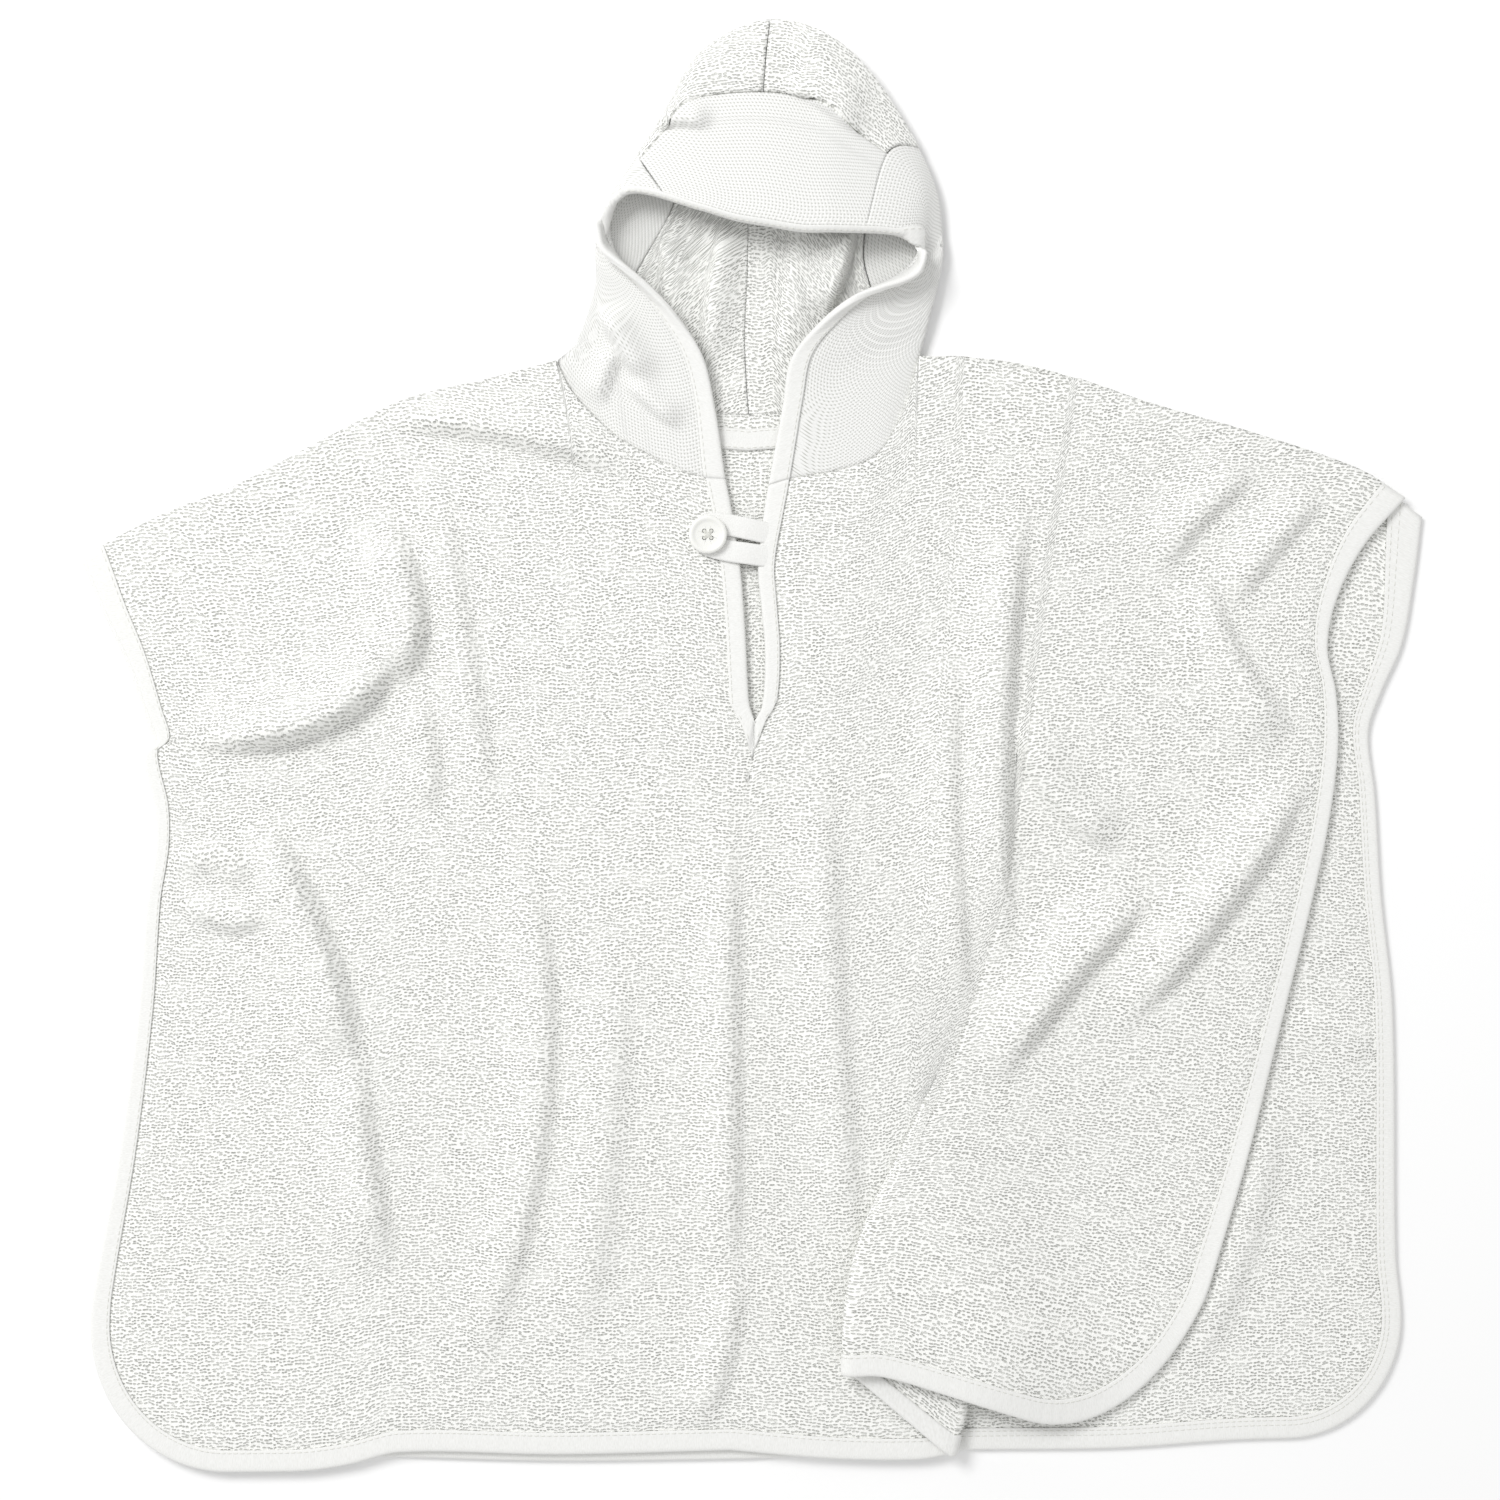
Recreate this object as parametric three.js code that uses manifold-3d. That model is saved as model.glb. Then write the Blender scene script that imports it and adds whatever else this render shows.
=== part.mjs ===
// Hooded bath poncho for a small child, laid flat on its back, front side up.
// Millimetres. +Z is up, +Y runs from the hem to the hood, and z = 0 is the surface it lies on.
// The origin is the middle of the whole outline.
//
// Each panel is drawn as it is cut, in cut coordinates (X across, Y along), and laid by a map
// that says where each point of the cut lies. Walls, tapes and seams are all made from the same
// laid points, moved out along the cloth's own normals, so that they keep their gaps.
import * as THREE from 'three';
import Module from 'manifold-3d';
import { mergeVertices } from 'three/addons/utils/BufferGeometryUtils.js';

const wasm = await Module();
wasm.setup();

// Cloth and tape
const TERRY = 3.0;
const WEAVE = 2.0;
const SQUEEZED = 1.0;
const TAPE = 0.8;
const TAPE_WIDTH = 10.0;
const TAPE_HEIGHT = 3.4;
const TAPE_EDGE_FALL = 0.2;
const TAPE_HOLLOW_AT = 0.6;
const CLOTH_EDGE_IN_TAPE = 1.5;
const FULL_PILE_AT = 13.5;
const SEAM_GAP = 0.3;

// The cut
const HALF_WIDTH = 320;
const HEM = -341;
const TIP = 90;
const NECK_HALF = 85;
const NECK_POINT = 175;
const FRONT_NECK = 120;
const BACK_NECK = 150;
const FRONT_CORNER = 70;
const BACK_CORNER = 58;
const SLIT_END = 9;
const SLIT_MITRE = 1.7;

// Height of the middle of each cloth wall over the surface below
const BACK_MID = 1.5;
const FRONT_MID = 6.0;
const SHOULDER_MID = 5.4;
const SHOULDER_FALL = 16;

// The pleat at the right of the front: two fold lines, in cut coordinates
const PLEAT_START = 103;
const PLEAT_END = 163;
const PLEAT_LOW_RADIUS = 2.5;
const PLEAT_HIGH_RADIUS = 3.6;
const PLEAT_EASE = 4.0;
const PLEAT_CLEAR = 5;
const PLEAT_RUN_OUT = 75;
// A step that puts a point just right of the slit or of a fold line
const JUST = 1e-6;

// Middle of the outline, which becomes the origin
const OUTLINE_MIDDLE = [-0.80, -0.38];

const clamp = (value, low, high) => Math.min(Math.max(value, low), high);
const mix = (a, b, t) => a + (b - a) * t;
const smooth = t => { const k = clamp(t, 0, 1); return k * k * (3 - 2 * k); };

// Smooth value of one column of a table at a place between its rows
function read(table, key, column, at) {
  const last = table.length - 1;
  const place = clamp(at, table[0][key], table[last][key]);
  let k = 0;
  while (k < last - 1 && place > table[k + 1][key]) k += 1;
  const slope = i => {
    const before = table[Math.max(i - 1, 0)];
    const after = table[Math.min(i + 1, last)];
    return (after[column] - before[column]) / (after[key] - before[key]);
  };
  const span = table[k + 1][key] - table[k][key];
  const t = (place - table[k][key]) / span;
  const a = table[k][column];
  const b = table[k + 1][column];
  const start = (2 * t ** 3 - 3 * t ** 2 + 1) * a + (t ** 3 - 2 * t ** 2 + t) * span * slope(k);
  return start + (3 * t ** 2 - 2 * t ** 3) * b + (t ** 3 - t ** 2) * span * slope(k + 1);
}
const point = (table, key, at) => [read(table, key, 'x', at), read(table, key, 'y', at)];

// Where the edges of the front lie. down: from the top of the edge to the hem, 0 to 1.
const FRONT_LEFT = [
  { down: 0.000, x: -315, y: 90 },
  { down: 0.060, x: -304, y: 63 },
  { down: 0.115, x: -293, y: 40 },
  { down: 0.175, x: -284, y: 15 },
  { down: 0.208, x: -280, y: 1 },
  { down: 0.220, x: -286, y: -4 },
  { down: 0.280, x: -281, y: -30 },
  { down: 0.330, x: -281, y: -50 },
  { down: 0.380, x: -285, y: -74 },
  { down: 0.500, x: -289, y: -125 },
  { down: 0.655, x: -298, y: -192 },
  { down: 0.780, x: -308, y: -246 },
  { down: 0.830, x: -311, y: -267 },
  { down: 1.000, x: -313, y: -341 },
];
const FRONT_RIGHT = [
  { down: 0.000, x: 307, y: 117 },
  { down: 0.064, x: 287, y: 94 },
  { down: 0.128, x: 274, y: 68 },
  { down: 0.176, x: 270, y: 46 },
  { down: 0.222, x: 274, y: 25 },
  { down: 0.275, x: 275, y: 0 },
  { down: 0.349, x: 271, y: -34 },
  { down: 0.433, x: 263, y: -72 },
  { down: 0.546, x: 250, y: -124 },
  { down: 0.695, x: 233, y: -191 },
  { down: 0.833, x: 215, y: -252 },
  { down: 0.886, x: 207, y: -276 },
  { down: 1.000, x: 189, y: -336 },
];
// Left and right edge of the slit, then the middle line below it
const SLIT_LEFT = [
  { down: 0.000, x: -13.2, y: 125.5 },
  { down: 0.036, x: -9.9, y: 109 },
  { down: 0.091, x: -5.6, y: 84 },
  { down: 0.156, x: -2.8, y: 54 },
  { down: 0.230, x: -1.2, y: 20 },
  { down: 0.252, x: 0.6, y: 9.5 },
  { down: 0.320, x: -2, y: -20 },
  { down: 0.550, x: -9.5, y: -127 },
  { down: 1.000, x: -11, y: -331 },
];
const SLIT_RIGHT = [
  { down: 0.000, x: 7.5, y: 122.7 },
  { down: 0.036, x: 5.0, y: 107 },
  { down: 0.091, x: 2.6, y: 84 },
  { down: 0.130, x: 4.2, y: 66 },
  { down: 0.180, x: 6.0, y: 42 },
  { down: 0.230, x: 4.6, y: 19 },
  { down: 0.252, x: 0.6, y: 9.5 },
  { down: 0.320, x: -2, y: -20 },
  { down: 0.550, x: -9.5, y: -127 },
  { down: 1.000, x: -11, y: -331 },
];
// Neck seam and shoulder seams. out: from the middle to the side of the cut, in mm.
const NECK_LEFT = [
  { out: 0, x: -13.2, y: 125.5 },
  { out: 12, x: -24, y: 126.5 },
  { out: 26, x: -37, y: 131 },
  { out: 42, x: -51, y: 138 },
  { out: 58, x: -65, y: 146 },
  { out: 70, x: -76, y: 156 },
  { out: 79, x: -86, y: 168 },
  { out: 85, x: -92.6, y: 181.4 },
];
const NECK_RIGHT = [
  { out: 0, x: 7.5, y: 122.7 },
  { out: 10, x: 17, y: 125.5 },
  { out: 36, x: 42, y: 130 },
  { out: 52, x: 57, y: 136 },
  { out: 66, x: 66, y: 148 },
  { out: 77, x: 73, y: 164 },
  { out: 85, x: 78, y: 183.3 },
];
const SHOULDER_LEFT = [
  { out: 85, x: -92.6, y: 181.4 },
  { out: 118, x: -124, y: 173 },
  { out: 160, x: -164, y: 163 },
  { out: 196, x: -198, y: 146.5 },
  { out: 245, x: -245, y: 122 },
  { out: 278, x: -276, y: 110 },
  { out: 320, x: -315, y: 90 },
];
const SHOULDER_RIGHT = [
  { out: 85, x: 78, y: 183.3 },
  { out: 119, x: 111, y: 182.5 },
  { out: 151, x: 142, y: 176.5 },
  { out: 199, x: 187, y: 161.5 },
  { out: 252, x: 237, y: 147 },
  { out: 300, x: 286, y: 130 },
  { out: 320, x: 307, y: 117 },
];
// Hem of the front: left half, then the lower and the upper layer beside the pleat
const HEM_LEFT = [
  { out: 0, x: -11, y: -331 },
  { out: 83, x: -91, y: -333 },
  { out: 163, x: -166, y: -332 },
  { out: 190, x: -191, y: -338 },
  { out: 215, x: -215, y: -341 },
  { out: 320, x: -313, y: -341 },
];
const HEM_LOWER = [
  { out: 0, x: -11, y: -331 },
  { out: 48, x: 37, y: -335 },
  { out: 88, x: 77, y: -335.5 },
  { out: 103, x: 92, y: -333 },
];
const HEM_UPPER = [
  { out: 163, x: 46, y: -294 },
  { out: 176, x: 60, y: -294 },
  { out: 206, x: 88, y: -302 },
  { out: 245, x: 124, y: -314 },
  { out: 320, x: 189, y: -336 },
];
// Fold lines of the pleat. turn: how far each fold is turned over, in degrees.
// rise: height of the upper layer over the lower one.
const PLEAT = [
  { down: 0.00, lowX: 95.6, lowY: 183.4, highX: 153.4, highY: 173, turn: 0, rise: 0 },
  { down: 0.25, lowX: 90, lowY: 56, highX: 136, highY: 54, turn: 0, rise: 0 },
  { down: 0.50, lowX: 80, lowY: -74, highX: 118, highY: -68, turn: 0, rise: 0 },
  { down: 0.66, lowX: 73, lowY: -158, highX: 95, highY: -146, turn: 22, rise: 1.5 },
  { down: 0.77, lowX: 74, lowY: -214, highX: 75, highY: -192, turn: 85, rise: 8 },
  { down: 0.86, lowX: 86, lowY: -262, highX: 56, highY: -228, turn: 160, rise: 12 },
  { down: 0.93, lowX: 98, lowY: -298, highX: 48, highY: -260, turn: 180, rise: 13.5 },
  { down: 1.00, lowX: 92, lowY: -333, highX: 46, highY: -294, turn: 180, rise: 14 },
];

// Where the back lies; most of its left side is hidden under the front
const BACK_LEFT = [
  { down: 0.00, x: -317, y: 88.5 },
  { down: 0.06, x: -306, y: 62 },
  { down: 0.12, x: -295, y: 38 },
  { down: 0.21, x: -283, y: 0 },
  { down: 0.32, x: -279, y: -46 },
  { down: 0.50, x: -287, y: -124 },
  { down: 0.78, x: -304, y: -246 },
  { down: 1.00, x: -309, y: -336 },
];
const BACK_RIGHT = [
  { down: 0.000, x: 315.4, y: 108 },
  { down: 0.060, x: 312, y: 81 },
  { down: 0.135, x: 306, y: 48 },
  { down: 0.190, x: 296, y: 25 },
  { down: 0.235, x: 290, y: 6 },
  { down: 0.290, x: 293, y: -22 },
  { down: 0.400, x: 296, y: -70 },
  { down: 0.530, x: 301.5, y: -124 },
  { down: 0.800, x: 303, y: -240 },
  { down: 0.860, x: 305.5, y: -266 },
  { down: 1.000, x: 306, y: -326 },
];
const BACK_MIDDLE = [
  { down: 0, x: -2, y: 156.2 },
  { down: 0.5, x: -5, y: -90 },
  { down: 1, x: -3, y: -336 },
];
const BACK_NECK_LEFT = [
  { out: 0, x: -2, y: 156.2 },
  { out: 50, x: -52, y: 162 },
  { out: 85, x: -92.6, y: 181.4 },
];
const BACK_NECK_RIGHT = [
  { out: 0, x: -2, y: 156.2 },
  { out: 50, x: 44, y: 162 },
  { out: 85, x: 78, y: 183.3 },
];
const BACK_SHOULDER_LEFT = [...SHOULDER_LEFT.slice(0, -1), { out: 320, x: -317, y: 88.5 }];
const BACK_SHOULDER_RIGHT = [...SHOULDER_RIGHT.slice(0, -1), { out: 320, x: 315.4, y: 108 }];
const BACK_HEM_LEFT = [
  { out: 0, x: -3, y: -336 },
  { out: 90, x: -93, y: -337 },
  { out: 180, x: -180, y: -335 },
  { out: 320, x: -309, y: -336 },
];
const BACK_HEM_RIGHT = [
  { out: 0, x: -3, y: -336 },
  { out: 98, x: 95, y: -332 },
  { out: 175, x: 171, y: -331 },
  { out: 240, x: 232, y: -327 },
  { out: 320, x: 306, y: -326 },
];

// Folds of the front: a bow from a to c past b. The crest is steep on its shaded side, which is
// the right-hand side on the way from a to c, or the left where steep is less than zero.
const FRONT_FOLDS = [
  { name: 'collar roll', ax: -186, ay: 153, bx: -128, by: 157, cx: -50, cy: 126, high: 5, steep: 5, gentle: 15 },
  { name: 'left drop', ax: -150, ay: 139, bx: -135, by: 48, cx: -122, cy: -40, high: 2.6, steep: -5, gentle: 12 },
  { name: 'tuck roll, upper', ax: -180, ay: 112, bx: -143, by: 62, cx: -172, cy: 26, high: 8, steep: -7, gentle: 20 },
  { name: 'tuck roll, lower', ax: -166, ay: 50, bx: -188, by: -4, cx: -274, cy: 4, high: 9, steep: -6, gentle: 18 },
  { name: 'tuck end', ax: -160, ay: 28, bx: -147, by: -4, cx: -153, cy: -34, high: 3, steep: -5, gentle: 12 },
  { name: 'left bump', ax: -275, ay: -56, bx: -250, by: -40, cx: -232, cy: -66, high: 4, steep: -5, gentle: 9 },
  { name: 'left bump, lower', ax: -268, ay: -68, bx: -252, by: -92, cx: -226, cy: -78, high: 4, steep: 5, gentle: 9 },
  { name: 'long left fold', ax: -236, ay: -30, bx: -196, by: -86, cx: -186, cy: -160, high: 7, steep: -6, gentle: 18 },
  { name: 'long left fold, foot', ax: -188, ay: -140, bx: -184, by: -190, cx: -170, cy: -250, high: 5, steep: -6, gentle: 16 },
  { name: 'middle left fold', ax: -114, ay: -36, bx: -72, by: -160, cx: -138, cy: -310, high: 3.5, steep: -7, gentle: 16 },
  { name: 'broad swell', ax: -64, ay: -80, bx: -66, by: -200, cx: -84, cy: -290, high: 2.5, steep: -12, gentle: 14 },
  { name: 'middle fold', ax: -12, ay: -20, bx: -10, by: -160, cx: -10, cy: -262, high: 4, steep: -5, gentle: 13 },
  { name: 'middle fold, foot', ax: -9, ay: -240, bx: -8, by: -290, cx: -28, cy: -322, high: 3, steep: -6, gentle: 12 },
  { name: 'middle right fold', ax: 30, ay: 10, bx: 38, by: -150, cx: 48, cy: -262, high: 3, steep: -9, gentle: 14 },
  { name: 'right drop', ax: 128, ay: 124, bx: 110, by: 20, cx: 119, cy: -116, high: 5.5, steep: -6, gentle: 16 },
  { name: 'right drop, inner', ax: 94, ay: 62, bx: 88, by: -50, cx: 102, cy: -140, high: 3, steep: -6, gentle: 12 },
  { name: 'shoulder fan, first', ax: 238, ay: 132, bx: 208, by: 112, cx: 188, cy: 80, high: 4, steep: -6, gentle: 13 },
  { name: 'shoulder fan, second', ax: 268, ay: 120, bx: 244, by: 98, cx: 222, cy: 64, high: 4, steep: -6, gentle: 12 },
  { name: 'shoulder fan, third', ax: 208, ay: 86, bx: 226, by: 26, cx: 256, cy: 6, high: 5, steep: -6, gentle: 15 },
  { name: 'elbow fold', ax: 126, ay: 26, bx: 142, by: -42, cx: 174, cy: -46, high: 5, steep: 6, gentle: 14 },
  { name: 'side fan, inner', ax: 190, ay: -66, bx: 146, by: -102, cx: 110, cy: -162, high: 6.5, steep: -7, gentle: 18 },
  { name: 'side fan, outer', ax: 262, ay: -8, bx: 230, by: -70, cx: 166, cy: -138, high: 6, steep: -7, gentle: 18 },
];
const BACK_FOLDS = [
  { name: 'side ridge', ax: 246, ay: -156, bx: 240, by: -240, cx: 200, cy: -302, high: 2.4, steep: -9, gentle: 12 },
  { name: 'side hollow', ax: 250, ay: -126, bx: 276, by: -128, cx: 294, cy: -148, high: 1.8, steep: -7, gentle: 10 },
];
const BOW_STEPS = 8;

// Height that the folds of a table add at a place
function foldHeight(folds, x, y) {
  let height = 0;
  for (const fold of folds) {
    let nearest = Infinity;
    let across = 0;
    let along = 0;
    const bow = t => [
      (1 - t) ** 2 * fold.ax + 2 * t * (1 - t) * fold.bx + t * t * fold.cx,
      (1 - t) ** 2 * fold.ay + 2 * t * (1 - t) * fold.by + t * t * fold.cy,
    ];
    for (let k = 0; k < BOW_STEPS; k += 1) {
      const [px, py] = bow(k / BOW_STEPS);
      const [qx, qy] = bow((k + 1) / BOW_STEPS);
      const length = Math.hypot(qx - px, qy - py);
      const ux = (qx - px) / length;
      const uy = (qy - py) / length;
      const t = clamp(((x - px) * ux + (y - py) * uy) / length, 0, 1);
      const gap = Math.hypot(x - mix(px, qx, t), y - mix(py, qy, t));
      if (gap < nearest) {
        nearest = gap;
        across = Math.sign((x - px) * uy - (y - py) * ux) * gap;
        along = (k + t) / BOW_STEPS;
      }
    }
    const side = across * Math.sign(fold.steep);
    const width = side > 0 ? Math.abs(fold.steep) : fold.gentle;
    const fade = smooth(along / 0.3) * smooth((1 - along) / 0.3);
    height += fold.high * fade * Math.exp(-((side / width) ** 2));
  }
  return height;
}

// The cloth under the button and its loop lies level
const BUTTON_AT = [-21.2, 99.2];
const LEVEL_MIDDLE = [-8, 99.2];
const LEVEL_NEAR = 24;
const LEVEL_FAR = 52;
function level(x, y) {
  const away = Math.hypot(x - LEVEL_MIDDLE[0], y - LEVEL_MIDDLE[1]);
  return smooth((away - LEVEL_NEAR) / (LEVEL_FAR - LEVEL_NEAR));
}
const backHeight = (x, y) => BACK_MID + foldHeight(BACK_FOLDS, x, y);

// Top line of a cut: round neck, then the straight slope of the shoulder
function topLine(X, neck) {
  const out = Math.abs(X);
  if (out >= NECK_HALF) return mix(NECK_POINT, TIP, (out - NECK_HALF) / (HALF_WIDTH - NECK_HALF));
  return neck + (NECK_POINT - neck) * (1 - Math.sqrt(1 - (out / NECK_HALF) ** 2));
}

// A patch between four laid edges, each a function of 0 to 1
function coons(left, right, top, hem, across, down) {
  const sides = [0, 1].map(axis => {
    const ruled = mix(left(down)[axis], right(down)[axis], across)
      + mix(top(across)[axis], hem(across)[axis], down);
    const topCorners = mix(top(0)[axis], top(1)[axis], across);
    const hemCorners = mix(hem(0)[axis], hem(1)[axis], across);
    return ruled - mix(topCorners, hemCorners, down);
  });
  return sides;
}

const topOf = (neck, shoulder) => out => (out < NECK_HALF ? point(neck, 'out', out) : point(shoulder, 'out', out));
const frontTopLeft = topOf(NECK_LEFT, SHOULDER_LEFT);
const frontTopRight = topOf(NECK_RIGHT, SHOULDER_RIGHT);
const backTopLeft = topOf(BACK_NECK_LEFT, BACK_SHOULDER_LEFT);
const backTopRight = topOf(BACK_NECK_RIGHT, BACK_SHOULDER_RIGHT);
const downCut = (X, Y, neck) => (topLine(X, neck) - Y) / (topLine(X, neck) - HEM);
// The shoulder's fall starts this far each side of the neck point
const NECK_POINT_EASE = 6;
const lowFold = down => [read(PLEAT, 'down', 'lowX', down), read(PLEAT, 'down', 'lowY', down)];
const highFold = down => [read(PLEAT, 'down', 'highX', down), read(PLEAT, 'down', 'highY', down)];

// Where a point of the front's cut lies
function layFront(X, Y) {
  const down = downCut(X, Y, FRONT_NECK);
  const onShoulder = smooth((Math.abs(X) - NECK_HALF + NECK_POINT_EASE) / (2 * NECK_POINT_EASE));
  const fall = onShoulder * (1 - smooth((topLine(X, FRONT_NECK) - Y) / SHOULDER_FALL));
  const base = FRONT_MID - (FRONT_MID - SHOULDER_MID) * fall;
  const lie = (x, y, lift) => {
    const folds = foldHeight(FRONT_FOLDS, x, y) * level(x, y) * (1 - fall) + foldHeight(BACK_FOLDS, x, y);
    return new THREE.Vector3(x, y, base + lift + folds);
  };
  if (X <= 0) {
    const out = -X / HALF_WIDTH;
    const [x, y] = coons(
      t => point(SLIT_LEFT, 'down', t), t => point(FRONT_LEFT, 'down', t),
      t => frontTopLeft(t * HALF_WIDTH), t => point(HEM_LEFT, 'out', t * HALF_WIDTH), out, down);
    return lie(x, y, 0);
  }
  if (X <= PLEAT_START + 2 * JUST) {
    const [x, y] = coons(
      t => point(SLIT_RIGHT, 'down', t), lowFold,
      t => frontTopRight(t * PLEAT_START), t => point(HEM_LOWER, 'out', t * PLEAT_START),
      X / PLEAT_START, down);
    return lie(x, y, 0);
  }
  const out = (X - PLEAT_END) / (HALF_WIDTH - PLEAT_END);
  const outOf = t => mix(PLEAT_END, HALF_WIDTH, t);
  const [x, y] = coons(
    highFold, t => point(FRONT_RIGHT, 'down', t),
    t => frontTopRight(outOf(t)), t => point(HEM_UPPER, 'out', outOf(t)), out, down);
  const pastPleat = x - Math.max(highFold(down)[0], lowFold(down)[0]) - PLEAT_CLEAR;
  const rise = read(PLEAT, 'down', 'rise', down) * (1 - smooth(pastPleat / PLEAT_RUN_OUT));
  return lie(x, y, rise);
}

// Where a point of the pleat lies. part: 0 to 1 round the low fold, 1 to 2 along the middle layer,
// 2 to 3 round the high fold.
function layPleat(part, Y) {
  const X = mix(PLEAT_START, PLEAT_END, part / 3);
  const down = downCut(X, Y, FRONT_NECK);
  const turn = THREE.MathUtils.degToRad(read(PLEAT, 'down', 'turn', down));
  const low = layFront(PLEAT_START, mix(topLine(PLEAT_START, FRONT_NECK), HEM, down));
  const high = layFront(PLEAT_END, mix(topLine(PLEAT_END, FRONT_NECK), HEM, down));
  const ease = PLEAT_EASE * (1 - turn / Math.PI);
  const aroundLow = t => low.clone().add(new THREE.Vector3(
    PLEAT_LOW_RADIUS * Math.sin(turn * t) + ease * t, 0, PLEAT_LOW_RADIUS * (1 - Math.cos(turn * t))));
  const aroundHigh = t => high.clone().sub(new THREE.Vector3(
    PLEAT_HIGH_RADIUS * Math.sin(turn * t) + ease * t, 0, PLEAT_HIGH_RADIUS * (1 - Math.cos(turn * t))));
  if (part <= 1) return aroundLow(part);
  if (part >= 2) return aroundHigh(3 - part);
  return aroundLow(1).lerp(aroundHigh(1), part - 1);
}

// Where a point of the back's cut lies
function layBack(X, Y) {
  const down = downCut(X, Y, BACK_NECK);
  const side = X <= 0
    ? [BACK_LEFT, backTopLeft, BACK_HEM_LEFT] : [BACK_RIGHT, backTopRight, BACK_HEM_RIGHT];
  const [x, y] = coons(
    t => point(BACK_MIDDLE, 'down', t), t => point(side[0], 'down', t),
    t => side[1](t * HALF_WIDTH), t => point(side[2], 'out', t * HALF_WIDTH),
    Math.abs(X) / HALF_WIDTH, down);
  return new THREE.Vector3(x, y, backHeight(x, y));
}

// A cloth is a net of laid points, each with a name, joined by four-sided meshes
class Cloth {
  constructor() {
    this.points = [];
    this.names = new Map();
    this.meshes = [];
  }

  at(name, place) {
    if (!this.names.has(name)) {
      this.names.set(name, this.points.length);
      this.points.push({ place: place(), half: TERRY / 2, normal: new THREE.Vector3() });
    }
    return this.names.get(name);
  }

  // rows: rows of point numbers, from the top down, each from left to right
  weave(rows, group) {
    for (let j = 0; j + 1 < rows.length; j += 1) {
      for (let i = 0; i + 1 < rows[j].length; i += 1) {
        const corners = [rows[j][i], rows[j + 1][i], rows[j + 1][i + 1], rows[j][i + 1]];
        this.meshes.push({ corners, group });
      }
    }
  }

  findNormals() {
    for (const { corners } of this.meshes) {
      const [a, b, c, d] = corners.map(k => this.points[k].place);
      const normal = new THREE.Vector3().crossVectors(c.clone().sub(a), d.clone().sub(b));
      corners.forEach(k => this.points[k].normal.add(normal));
    }
    this.points.forEach(p => p.normal.normalize());
  }

  // Closed wall over the meshes of some groups
  wall(groups) {
    const meshes = this.meshes.filter(m => groups.includes(m.group));
    const used = [...new Set(meshes.flatMap(m => m.corners))];
    const row = new Map(used.map((k, i) => [k, i]));
    const corners = [];
    for (const sign of [1, -1]) {
      for (const k of used) {
        const p = this.points[k];
        corners.push(p.place.clone().addScaledVector(p.normal, sign * p.half));
      }
    }
    const faces = [];
    const edges = new Map();
    for (const mesh of meshes) {
      for (const [a, b, c] of split(mesh.corners)) {
        faces.push([row.get(a), row.get(b), row.get(c)]);
        faces.push([row.get(a) + used.length, row.get(c) + used.length, row.get(b) + used.length]);
      }
      mesh.corners.forEach((a, i) => edges.set(`${a} ${mesh.corners[(i + 1) % 4]}`, true));
    }
    for (const edge of edges.keys()) {
      const [a, b] = edge.split(' ').map(Number);
      if (edges.has(`${b} ${a}`)) continue;
      const [p, q] = [row.get(a), row.get(b)];
      faces.push([q, p, p + used.length], [q, p + used.length, q + used.length]);
    }
    return solid(corners, faces);
  }

  // Folded tape along the cloth's edge, a U round it from end to end.
  // run: rows of [outer, cloth edge, inner] point numbers.
  tape(run) {
    const half = TAPE_HEIGHT / 2;
    const corners = [];
    for (const [outer, edge, inner] of run) {
      const [o, e, i] = [outer, edge, inner].map(k => this.points[k]);
      const hollow = o.place.clone().lerp(e.place, TAPE_HOLLOW_AT);
      const put = (p, normal, height) => corners.push(p.clone().addScaledVector(normal, height));
      put(i.place, i.normal, half);
      put(o.place, o.normal, half - TAPE_EDGE_FALL);
      put(o.place, o.normal, TAPE_EDGE_FALL - half);
      put(i.place, i.normal, -half);
      put(i.place, i.normal, TAPE - half);
      put(hollow, e.normal, TAPE - half);
      put(hollow, e.normal, half - TAPE);
      put(i.place, i.normal, half - TAPE);
    }
    const count = corners.length / run.length;
    const faces = [];
    for (let k = 0; k + 1 < run.length; k += 1) {
      const [outerA, , innerA] = run[k];
      const [outerB, , innerB] = run[k + 1];
      const straight = Math.min(outerA, innerB) < Math.min(outerB, innerA);
      for (let m = 0; m < count; m += 1) {
        const a = k * count + m;
        const b = k * count + (m + 1) % count;
        const c = b + count;
        const d = a + count;
        const fromOuter = m === 1 || m === 2 || m === 6;
        if (straight === fromOuter) faces.push([a, b, c], [a, c, d]);
        else faces.push([a, b, d], [b, c, d]);
      }
    }
    const last = (run.length - 1) * count;
    const cap = [[0, 1, 6], [0, 6, 7], [1, 2, 5], [1, 5, 6], [2, 3, 4], [2, 4, 5]];
    cap.forEach(([a, b, c]) => faces.push([a, c, b], [last + a, last + b, last + c]));
    return solid(corners, faces);
  }
}

// Two triangles of a four-sided mesh, cut from the corner made first
function split([a, b, c, d]) {
  return Math.min(a, c) < Math.min(b, d) ? [[a, b, c], [a, c, d]] : [[a, b, d], [b, c, d]];
}

// Geometry from corners and faces, turned so that its faces point out
function solid(corners, faces) {
  let volume = 0;
  for (const [a, b, c] of faces) {
    volume += corners[a].dot(new THREE.Vector3().crossVectors(corners[b], corners[c]));
  }
  const turned = volume < 0 ? faces.map(([a, b, c]) => [a, c, b]) : faces;
  const geometry = new THREE.BufferGeometry();
  geometry.setAttribute('position', new THREE.Float32BufferAttribute(corners.flatMap(p => p.toArray()), 3));
  geometry.setIndex(turned.flat());
  return geometry;
}

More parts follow.
